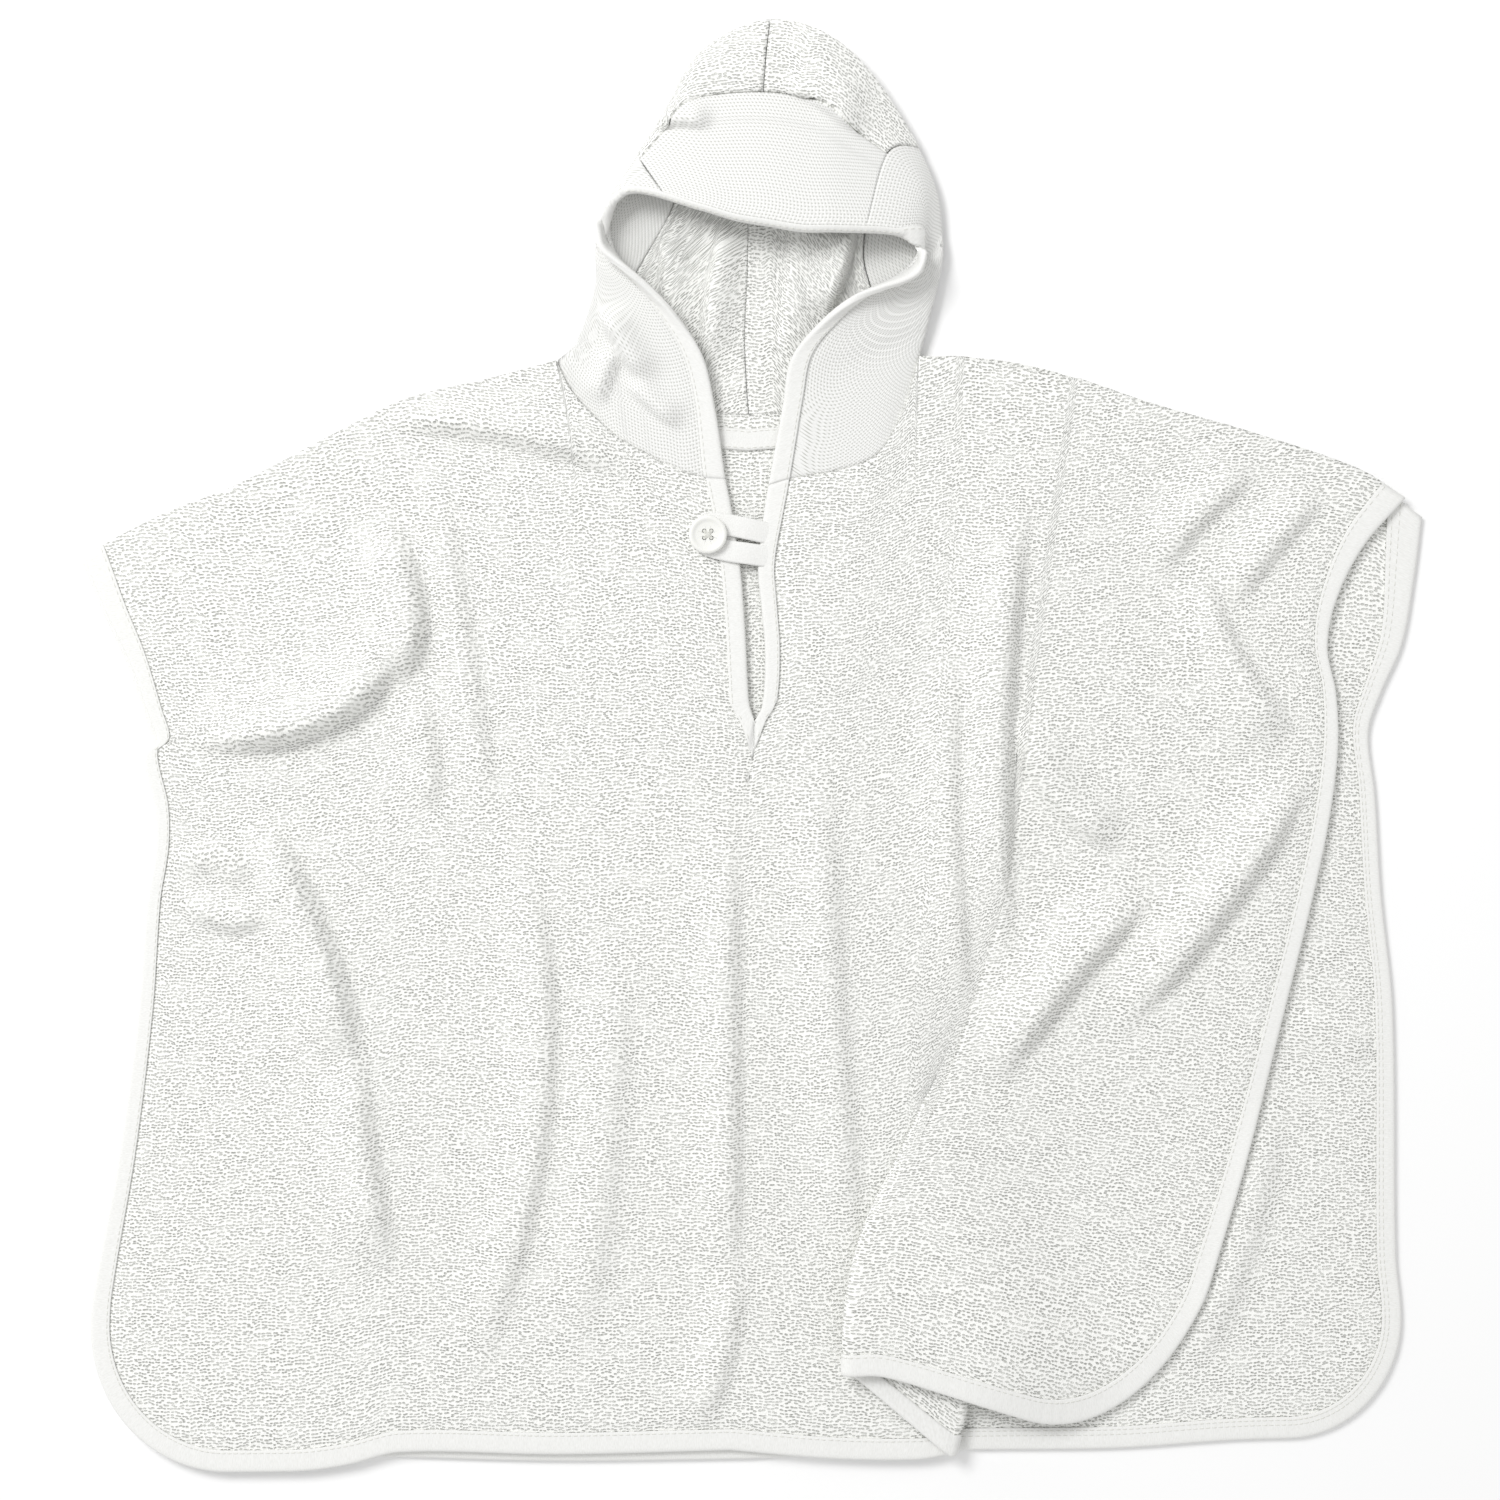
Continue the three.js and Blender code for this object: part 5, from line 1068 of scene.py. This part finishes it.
# The lips stand up beside the face. up: share of the way up the hood. share: of the full height.
STAND = 8
STAND_FROM = 0.93
STAND_UP = (0, 0.3, 0.45, 0.65, 0.9, 1)
STAND_SHARE = (0, 0, 0.45, 1, 0.8, 0.4)
ROLLED = 10.5
ROLL_RADIUS = 2.1
ROLL_CLEAR = 1.7
ROLL_FULL = 0.6
ROLL_GONE = 0.97
SEAM_HALF = 0.0008
BAND_SIDE_HALF = 0.0014
BAND_TOP_HALF = 0.0007


def beside_neck(rows, out):
    """Places on a neck line, moved off it by the seam gap towards the middle of the neck"""
    place = line(rows, "out", out)
    along = line(rows, "out", out + 1) - line(rows, "out", out - 1)
    normal = np.column_stack((-along[:, 1], along[:, 0]))
    normal /= np.linalg.norm(normal, axis=1, keepdims=True)
    inwards = np.sign(np.sum(normal * (NECK_MIDDLE - place), axis=1, keepdims=True))
    return place + inwards * normal * NECK_SEAM_AWAY


def hood_neck_place(around):
    size, turn_at = np.abs(around), TURN_AT
    left, lip = around < 0, size >= turn_at
    lip_out = NECK_HALF * (1 - size) / (1 - turn_at)
    back_out = NECK_HALF * np.minimum(size, turn_at) / turn_at
    lip_z = mix(FRONT_MID, NECK_POINT_MID, smooth(
        (lip_out / NECK_HALF - NECK_FALL_FROM) / (1 - NECK_FALL_FROM)))
    back_z = mix(NECK_POINT_MID, HOOD_FLOOR, smooth((turn_at - size) / NECK_FALL_BEHIND))
    lip_out = np.clip(lip_out, 0, NECK_HALF)
    sides = [
        np.where(left[:, None], beside_neck(a, out), beside_neck(b, out))
        for a, b, out in (
            (NECK_LEFT, NECK_RIGHT, lip_out), (BACK_NECK_LEFT, BACK_NECK_RIGHT, back_out))]
    place = np.where(lip[:, None], *sides)
    return np.column_stack((place, np.where(lip, lip_z, back_z)))


def fade_in(at, start, over):
    return smooth((at - start) / over)


def lay_hood(up, around):
    """Where points of the hood lie, by the share of the way up and around it. Along the top of
    the face its edge is rolled under, so that the binding there shows as a thin rim."""
    up, around = np.broadcast_arrays(np.asarray(up, float), np.asarray(around, float))
    arcs = [hood_neck_place(around)]
    arcs += [through(HOOD_AROUND, arc, around) for arc in HOOD_ARCS]
    rolled = 1 - smooth((np.abs(around) - ROLL_FULL) / (ROLL_GONE - ROLL_FULL))
    last = np.linalg.norm(arcs[-1] - arcs[-2], axis=1)
    flat = last - rolled * ROLL_RADIUS * ROLL_CLEAR
    walked = (up - BAND_TOP) / (1 - BAND_TOP) * (flat + rolled * ROLLED)
    spare = np.clip(walked - flat, 0, None)
    reached = BAND_TOP + (1 - BAND_TOP) * np.minimum(walked, flat) / last
    place = through(np.linspace(0, 1, len(arcs)), arcs, np.where(up > BAND_TOP, reached, up))
    size = np.abs(around)
    on_back = (1 - fade_in(up, *BACK_ENDS_UP)) * (1 - fade_in(size, *BACK_ENDS_OUT))
    on_front = fade_in(size, *FRONT_FROM) * (1 - fade_in(up, *FRONT_ENDS_UP))
    on_top = fade_in(up, *TOP_FROM) * (1 - fade_in(size, *FRONT_FROM))
    for folds, share in (
            (HOOD_BACK_FOLDS, on_back), (HOOD_FRONT_FOLDS, on_front), (HOOD_TOP_FOLDS, on_top)):
        place[:, 2] += share * fold_height(folds, place[:, 0], place[:, 1])
    stand = STAND * through(STAND_UP, STAND_SHARE, up)
    place[:, 2] += stand * fade_in(size, STAND_FROM, 1 - STAND_FROM)
    outward = (arcs[-1] - arcs[-2]) / last[:, None]
    angle = np.minimum(spare / ROLL_RADIUS, np.pi)
    back = spare - ROLL_RADIUS * angle
    place += outward * (rolled * (ROLL_RADIUS * np.sin(angle) - back))[:, None]
    place[:, 2] -= rolled * ROLL_RADIUS * (1 - np.cos(angle))
    place[:, 2] = np.maximum(place[:, 2], HOOD_FLOOR)
    return place


WALK = np.linspace(0, 1, 60)


def walk_in(lay, start, end, distance):
    """Places reached by walking a distance from start towards end, for each of many walks"""
    steps = mix(start[:, None], end[:, None], WALK[None, :])
    places = lay(steps)
    walked = np.cumsum(np.linalg.norm(np.diff(places, axis=1), axis=2), axis=1)
    walked = np.column_stack((np.zeros(len(start)), walked))
    return np.array([np.interp(distance, w, s) for w, s in zip(walked, steps)])


def lip_inset(up, sign, distance):
    """How far around the hood a place is that lies a distance in from the lip"""
    def lay(around):
        flat = lay_hood(np.repeat(up, around.shape[1]), around.ravel())
        return flat.reshape(*around.shape, 3)
    return walk_in(lay, np.full_like(up, sign), np.full_like(up, 0.5 * sign), distance)


def top_inset(around, distance):
    """How far up the hood a place is that lies a distance in from the upper face edge"""
    def lay(up):
        flat = lay_hood(up.ravel(), np.repeat(around, up.shape[1]))
        return flat.reshape(*up.shape, 3)
    return walk_in(lay, np.ones_like(around), np.full_like(around, BAND_TOP), distance)


def inset_table(inset, spots, *more):
    """An inset as a function of the place along the edge, read from a table of places"""
    values = inset(spots, *more)
    return lambda at: np.interp(at, spots, values)


TOP_SPOTS = np.linspace(-1, 1, 161)
UP_SPOTS = np.linspace(0, 1, 161)
top_cloth_edge = inset_table(top_inset, TOP_SPOTS, CLOTH_EDGE)
top_tape_end = inset_table(top_inset, TOP_SPOTS, TAPE_WIDTH)
lip_cloth_edge = {s: inset_table(lip_inset, UP_SPOTS, s, CLOTH_EDGE) for s in (-1, 1)}
lip_tape_end = {s: inset_table(lip_inset, UP_SPOTS, s, TAPE_WIDTH) for s in (-1, 1)}


def measured(places, u, v, across, down):
    """Cut coordinates from lengths measured along the rows and columns of a grid"""
    i, j = np.rint(u * across).astype(int), np.rint(v * down).astype(int)
    net = np.zeros((down + 1, across + 1, 3))
    net[j, i] = places
    wide = np.cumsum(np.linalg.norm(np.diff(net, axis=1), axis=2), axis=1)
    long = np.cumsum(np.linalg.norm(np.diff(net, axis=0), axis=2), axis=0)
    wide = np.column_stack((np.zeros(down + 1), wide))
    long = np.vstack((np.zeros(across + 1), long))
    return np.column_stack((wide[j, i], long[j, i]))


def band_side(up, sign):
    """Where the side seam of the band runs: inside the hood it shows beside the face"""
    return through(BAND_SIDE_UP, BAND_SIDE_LEFT if sign < 0 else BAND_SIDE_RIGHT, up)


def hood_half_grid(sign):
    def place(u, v, across, down):
        up = (1 - v) * (BAND_TOP - BAND_TOP_HALF)
        share = u if sign < 0 else 1 - u
        around = sign * mix(band_side(up, sign) - BAND_SIDE_HALF, SEAM_HALF, share)
        places = lay_hood(up, around)
        return places, measured(places, u, v, across, down), np.ones_like(u)
    return place


for sign, side, flat in ((-1, "left", (0.060, 0.200)), (1, "right", (0.062, 0.205))):
    half = cloth_piece(
        f"hood_{side}_half", [(44, 150, hood_half_grid(sign))], TERRY, TERRY, terry, "terry")
    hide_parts(f"hood_{side}")


YARN_PITCH = 1.7


def weave_material():
    """Open basket weave: soft twisted cotton yarns 1.7 mm apart, with a small hole at each corner
    between four crossings. It is brighter and flatter than the terry, with a fine dark dot grid:
    the holes are not cut, but painted with the shade seen through them."""
    material, tree, shader = new_material("open_basket_weave_cotton")
    steps = cloth_place(tree, YARN_PITCH, YARN_PITCH)
    parts = add_node(tree, "SeparateXYZ", [("Vector", steps)])
    ridges = []
    for axis in ("X", "Y"):
        turn = add_node(tree, "Math", [(0, parts.outputs[axis]), (1, np.pi)],
                        operation="MULTIPLY")
        wave = add_node(tree, "Math", [(0, turn.outputs[0])], operation="SINE")
        ridges.append(add_node(tree, "Math", [(0, wave.outputs[0])], operation="ABSOLUTE"))
    over = add_node(tree, "TexChecker", [
        ("Vector", steps), ("Scale", 1.0), ("Color1", (1, 1, 1, 1)), ("Color2", (0, 0, 0, 1))])
    yarn = add_node(tree, "Mix", [
        ("Factor", over.outputs["Fac"]), ("A", ridges[0].outputs[0]),
        ("B", ridges[1].outputs[0])])
    open_part = add_node(tree, "Math", [
        (0, ridges[0].outputs[0]), (1, ridges[1].outputs[0])], operation="MAXIMUM")
    fuzz = add_node(tree, "TexNoise", [
        ("Vector", cloth_place(tree, FIBRE, FIBRE)), ("Scale", 1.0), ("Detail", 1.0)])
    height = add_node(tree, "Math", [
        (0, yarn.outputs["Result"]), (1, open_part.outputs[0])], operation="MULTIPLY")
    height = add_node(tree, "Math", [
        (0, fuzz.outputs["Fac"]), (1, 0.35), (2, height.outputs[0])], operation="MULTIPLY_ADD")
    # Painted shade: the holes between the crossings get the dark colour #C4C5BF for the shade seen
    # through them.
    tint = add_node(tree, "ValToRGB", [("Fac", open_part.outputs[0])])
    tint.color_ramp.elements[0].position = 0.42
    tint.color_ramp.elements[0].color = linear("#C4C5BF")
    tint.color_ramp.elements[1].position = 0.72
    tint.color_ramp.elements[1].color = linear("#F0F0EE")
    tree.links.new(tint.outputs["Color"], shader.inputs["Base Color"])
    bump = add_node(tree, "Bump", [
        ("Height", height.outputs[0]), ("Strength", 0.5), ("Distance", 0.0004)])
    tree.links.new(bump.outputs["Normal"], shader.inputs["Normal"])
    shader.inputs["Roughness"].default_value = 0.95
    shader.inputs["Specular IOR Level"].default_value = 0.15
    return material


weave_cotton = weave_material()
SIDE_COLUMNS = 40
LOW_ROWS = 130
TOP_ROWS = 36
TOP_COLUMNS = 96
HOOD_REACH = 160


def band_row(v, around):
    """The share of the way up of the band's rows: close to the crown seam, then to the edge"""
    row = (1 - v) * (LOW_ROWS + TOP_ROWS)
    seam = BAND_TOP + BAND_TOP_HALF
    high = mix(seam, top_cloth_edge(around), (row - LOW_ROWS) / TOP_ROWS)
    return np.where(row <= LOW_ROWS, row / LOW_ROWS * seam, high)


def band_side_grid(sign):
    def place(u, v, across, down):
        middle_up = band_row(v, np.zeros_like(v))
        lip = lip_cloth_edge[sign](middle_up)
        share = u if sign < 0 else 1 - u
        around = mix(lip, sign * (band_side(middle_up, sign) + BAND_SIDE_HALF), share)
        up = band_row(v, around)
        places = lay_hood(up, around)
        tape_end = lip_tape_end[sign](middle_up)
        depth_side = (np.abs(tape_end) - np.abs(around)) * HOOD_REACH
        depth_top = (top_tape_end(around) - up) * HOOD_REACH
        full = np.clip(np.minimum(depth_side, depth_top) / (FULL_PILE_AT - TAPE_WIDTH), 0, 1)
        return places, measured(places, u, v, across, down), full
    return place


def band_top_grid(u, v, across, down):
    around = mix(-BAND_SIDE - BAND_SIDE_HALF, BAND_SIDE + BAND_SIDE_HALF, u)
    up = mix(top_cloth_edge(around), BAND_TOP + BAND_TOP_HALF, v)
    places = lay_hood(up, around)
    depth = (top_tape_end(around) - up) * HOOD_REACH
    full = np.clip(depth / (FULL_PILE_AT - TAPE_WIDTH), 0, 1)
    return places, measured(places, u, v, across, down), full


hood_band = cloth_piece(
    "hood_weave_band", [
        (SIDE_COLUMNS, LOW_ROWS + TOP_ROWS, band_side_grid(-1)),
        (TOP_COLUMNS, TOP_ROWS, band_top_grid),
        (SIDE_COLUMNS, LOW_ROWS + TOP_ROWS, band_side_grid(1))],
    WEAVE, SQUEEZED, weave_cotton, "open_weave")
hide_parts("hood_band")

# The face edge as one run: up the left lip, across the top, down the right lip
FACE_STEPS = 240
face_up = np.linspace(0, 1, FACE_STEPS)
left_inner = lip_inset(face_up, -1, TAPE_WIDTH)
right_inner = lip_inset(face_up, 1, TAPE_WIDTH)


def face_corner(inner):
    """Where the inner line of a lip's tape meets that of the upper edge"""
    up_there = top_inset(inner, TAPE_WIDTH)
    k = int(np.argmax(face_up >= up_there))
    return k, inner[k], face_up[k]


left_k, left_around, left_up = face_corner(left_inner)
right_k, right_around, right_up = face_corner(right_inner)
top_arounds = np.linspace(left_around, right_around, FACE_STEPS)
top_ups = top_inset(top_arounds, TAPE_WIDTH)
CORNER = 14
ones = np.ones(CORNER)
corner_share = np.linspace(0, 1, CORNER)


def face_side(sign, k, lip, inner, up):
    """Up one lip and round its corner: outer and inner ends of the tape, as (around, up)"""
    outer = np.vstack((
        np.column_stack((sign * np.ones(k), face_up[:k])),
        np.column_stack((sign * ones, mix(up, 1, corner_share))),
        np.column_stack((mix(sign, inner, corner_share), ones))[1:]))
    corner = np.column_stack((inner * ones, up * ones))
    return outer, np.vstack((np.column_stack((lip[:k], face_up[:k])), corner, corner[1:]))


left_outer, left_ends = face_side(-1, left_k, left_inner, left_around, left_up)
right_outer, right_ends = face_side(1, right_k, right_inner, right_around, right_up)
top_outer = np.column_stack((top_arounds, np.ones(FACE_STEPS)))
face_outer = np.vstack((left_outer, top_outer[1:], right_outer[-2::-1]))
face_inner = np.vstack((
    left_ends, np.column_stack((top_arounds, top_ups))[1:], right_ends[-2::-1]))
outer_places = lay_hood(face_outer[:, 1], face_outer[:, 0])
face_lengths = np.concatenate((
    [0], np.cumsum(np.linalg.norm(np.diff(outer_places, axis=0), axis=1))))
FACE_RUN = face_lengths[-1]


def lay_face_rim(run, inset):
    share = (inset / TAPE_WIDTH)[:, None] if np.ndim(inset) else inset / TAPE_WIDTH
    outer, inner = (
        np.column_stack([np.interp(run, face_lengths, ends[:, k]) for k in (0, 1)])
        for ends in (face_outer, face_inner))
    around, up = mix(outer, inner, share).T
    return lay_hood(up, around)


hood_tape = tape_piece("hood_tape", lay_face_rim, 0, FACE_RUN, FACE_RUN, 300, 1)
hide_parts("hood_binding")
stitch_row(
    "hood_tape_stitches", lay_face_rim, 0, FACE_RUN, FACE_RUN, STITCH_INSET, STITCH_HEIGHT, 1)


# Button loop: a strip of the binding tape, folded and sewn flat to the right edge of the slit.
# Its two straps pass under the button and round its thread.
LOOP_THICK = 1.2
LOOP_WIDTH = 10.0
LOOP_LENGTH = 70
LOOP_CROWN = 0.25
BUTTON_AT = (-21.2, 99.2)
LOOP_PATH = table(
    "step x y lift",
    (0, 8.5, 99.7, 6.6), (1, -2, 101.9, 8.6), (2, -12, 103.9, 8.6), (3, -20.6, 104.2, 8.6),
    (4, -25.0, 99.3, 8.6), (5, -21.2, 94.4, 8.6), (6, -13, 91.9, 8.6), (7, -3, 90.4, 8.6),
    (8, 8.5, 88.9, 6.6))


def loop_grid(u, v, across, down):
    step = v * LOOP_PATH["step"][-1]
    place = line(LOOP_PATH, "step", step)
    along = line(LOOP_PATH, "step", step + NEAR) - line(LOOP_PATH, "step", step - NEAR)
    along /= np.linalg.norm(along, axis=1, keepdims=True)
    sideways = np.column_stack((-along[:, 1], along[:, 0])) * ((u - 0.5) * LOOP_WIDTH)[:, None]
    crown = LOOP_CROWN * (1 - (2 * u - 1) ** 2)
    lift = through(LOOP_PATH["step"], LOOP_PATH["lift"], step)
    places = np.column_stack((place + sideways, lift + crown))
    return places, np.column_stack((u * LOOP_WIDTH, v * LOOP_LENGTH)), np.ones_like(u)


loop = cloth_piece(
    "button_loop_strap", [(10, 90, loop_grid)], LOOP_THICK, LOOP_THICK, tape_cotton,
    "binding_tape")
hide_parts("button_loop")


# Button: a four-hole shirt-style button of moulded polyester, 18 mm across, with a raised rim
# round a shallow dish. It is glossy, hard and very slightly translucent.
BUTTON_Z = 10.3
BUTTON_SPIN = 72
HOLE_RADIUS = 0.95
HOLES_APART = 3.4
DRILL_LENGTH = 8
DRILL_MIDDLE = 1.4
EDGE_SOFT = 0.15
BUTTON_SECTION = table(
    "out up",
    (0, 0), (6.6, 0), (7.6, 0.15), (8.5, 0.6), (8.95, 1.1), (9.0, 1.6), (8.85, 2.2), (8.4, 2.65),
    (7.9, 2.8), (7.3, 2.72), (6.7, 2.4), (6.1, 2.0), (5.4, 1.8), (0, 1.75))
plastic, _, shader = new_material("moulded_polyester_button")
shader.inputs["Base Color"].default_value = linear("#F0F0EC")
shader.inputs["Roughness"].default_value = 0.28
shader.inputs["IOR"].default_value = 1.55
shader.inputs["Subsurface Weight"].default_value = 0.1
shader.inputs["Subsurface Radius"].default_value = (0.001, 0.001, 0.0009)


def in_place(x, y, z):
    return Vector((np.array((x, y, z)) - OUTLINE_MIDDLE) * MM)


def turned(name, section, middle, spin, material, slot):
    """A piece turned about an upright axis from a table of out and up"""
    shape = bmesh.new()
    verts = [
        shape.verts.new(in_place(middle[0] + out, middle[1], middle[2] + up))
        for out, up in zip(section["out"], section["up"])]
    edges = [shape.edges.new(pair) for pair in zip(verts, verts[1:])]
    bmesh.ops.spin(
        shape, geom=verts + edges, cent=in_place(*middle), axis=(0, 0, 1), angle=2 * np.pi,
        steps=spin, use_merge=True)
    bmesh.ops.remove_doubles(shape, verts=shape.verts, dist=0.01 * MM)
    bmesh.ops.recalc_face_normals(shape, faces=shape.faces)
    mesh = bpy.data.meshes.new(name)
    shape.to_mesh(mesh)
    shape.free()
    return add_piece(name, mesh, material, slot)


button = turned(
    "shirt_button", BUTTON_SECTION, (*BUTTON_AT, BUTTON_Z), BUTTON_SPIN, plastic,
    "button_plastic")
hole_spots = [
    (BUTTON_AT[0] + HOLES_APART / 2 * a, BUTTON_AT[1] + HOLES_APART / 2 * b)
    for a, b in ((1, 1), (-1, 1), (-1, -1), (1, -1))]
drill_shape = bmesh.new()
for x, y in hole_spots:
    bmesh.ops.create_cone(
        drill_shape, cap_ends=True, segments=20, radius1=HOLE_RADIUS * MM,
        radius2=HOLE_RADIUS * MM, depth=DRILL_LENGTH * MM,
        matrix=Matrix.Translation(in_place(x, y, BUTTON_Z + DRILL_MIDDLE)))
drill_mesh = bpy.data.meshes.new("drill")
drill_shape.to_mesh(drill_mesh)
drill = bpy.data.objects.new("drill", drill_mesh)
collection.objects.link(drill)
holes = button.modifiers.new("holes", "BOOLEAN")
holes.operation = "DIFFERENCE"
holes.object = drill
holes.solver = "EXACT"
bpy.context.view_layer.update()
drilled = bpy.data.meshes.new_from_object(
    button.evaluated_get(bpy.context.evaluated_depsgraph_get()))
button.modifiers.clear()
button.data = drilled
bpy.data.objects.remove(drill)
drilled.shade_smooth()
soft_edge = button.modifiers.new("edge", "BEVEL")
soft_edge.width = EDGE_SOFT * MM
soft_edge.segments = 2
soft_edge.limit_method = "ANGLE"
soft_edge.harden_normals = True
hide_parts("button")


# Button thread: white cotton, three strands from each hole to the opposite one, which cross in
# the middle, and a wound shank through the eye of the loop.
STRAND = 0.28
STRANDS = (-0.5, 0, 0.5)
STRAND_HALF_LENGTH = 3.0
STRAND_OVER = 2.0
LEG_RADIUS = 0.6
LEG_LENGTH = 2.4
LEG_MIDDLE = 0.9
SHANK_RADIUS = 1.5
SHANK_LENGTH = 2.4
SHANK_MIDDLE_Z = 9.05
thread_shape = bmesh.new()
for (ax, ay), (bx, by) in ((hole_spots[0], hole_spots[2]), (hole_spots[1], hole_spots[3])):
    turn = np.arctan2(by - ay, bx - ax)
    for aside in STRANDS:
        middle = in_place(
            (ax + bx) / 2 - aside * np.sin(turn), (ay + by) / 2 + aside * np.cos(turn),
            BUTTON_Z + STRAND_OVER)
        bmesh.ops.create_uvsphere(
            thread_shape, u_segments=10, v_segments=12, radius=1,
            matrix=Matrix.Translation(middle) @ Matrix.Rotation(turn, 4, "Z")
            @ Matrix.Rotation(np.pi / 2, 4, "Y")
            @ Matrix.Diagonal((STRAND * 1.6 * MM, STRAND * MM, STRAND_HALF_LENGTH * MM, 1)))
for x, y in hole_spots:
    bmesh.ops.create_cone(
        thread_shape, cap_ends=True, segments=10, radius1=LEG_RADIUS * MM,
        radius2=LEG_RADIUS * MM, depth=LEG_LENGTH * MM,
        matrix=Matrix.Translation(in_place(x, y, BUTTON_Z + LEG_MIDDLE)))
bmesh.ops.create_cone(
    thread_shape, cap_ends=True, segments=20, radius1=SHANK_RADIUS * MM,
    radius2=SHANK_RADIUS * MM, depth=SHANK_LENGTH * MM,
    matrix=Matrix.Translation(in_place(*BUTTON_AT, SHANK_MIDDLE_Z)))
thread_mesh = bpy.data.meshes.new("button_thread_strands")
thread_shape.to_mesh(thread_mesh)
strands = add_piece("button_thread_strands", thread_mesh, thread_cotton, "thread")
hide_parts("button_thread")

scene_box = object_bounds()
({name: [list(corner) for corner in box]
           for name, box in (("cad", cad_box), ("visual", scene_box))})
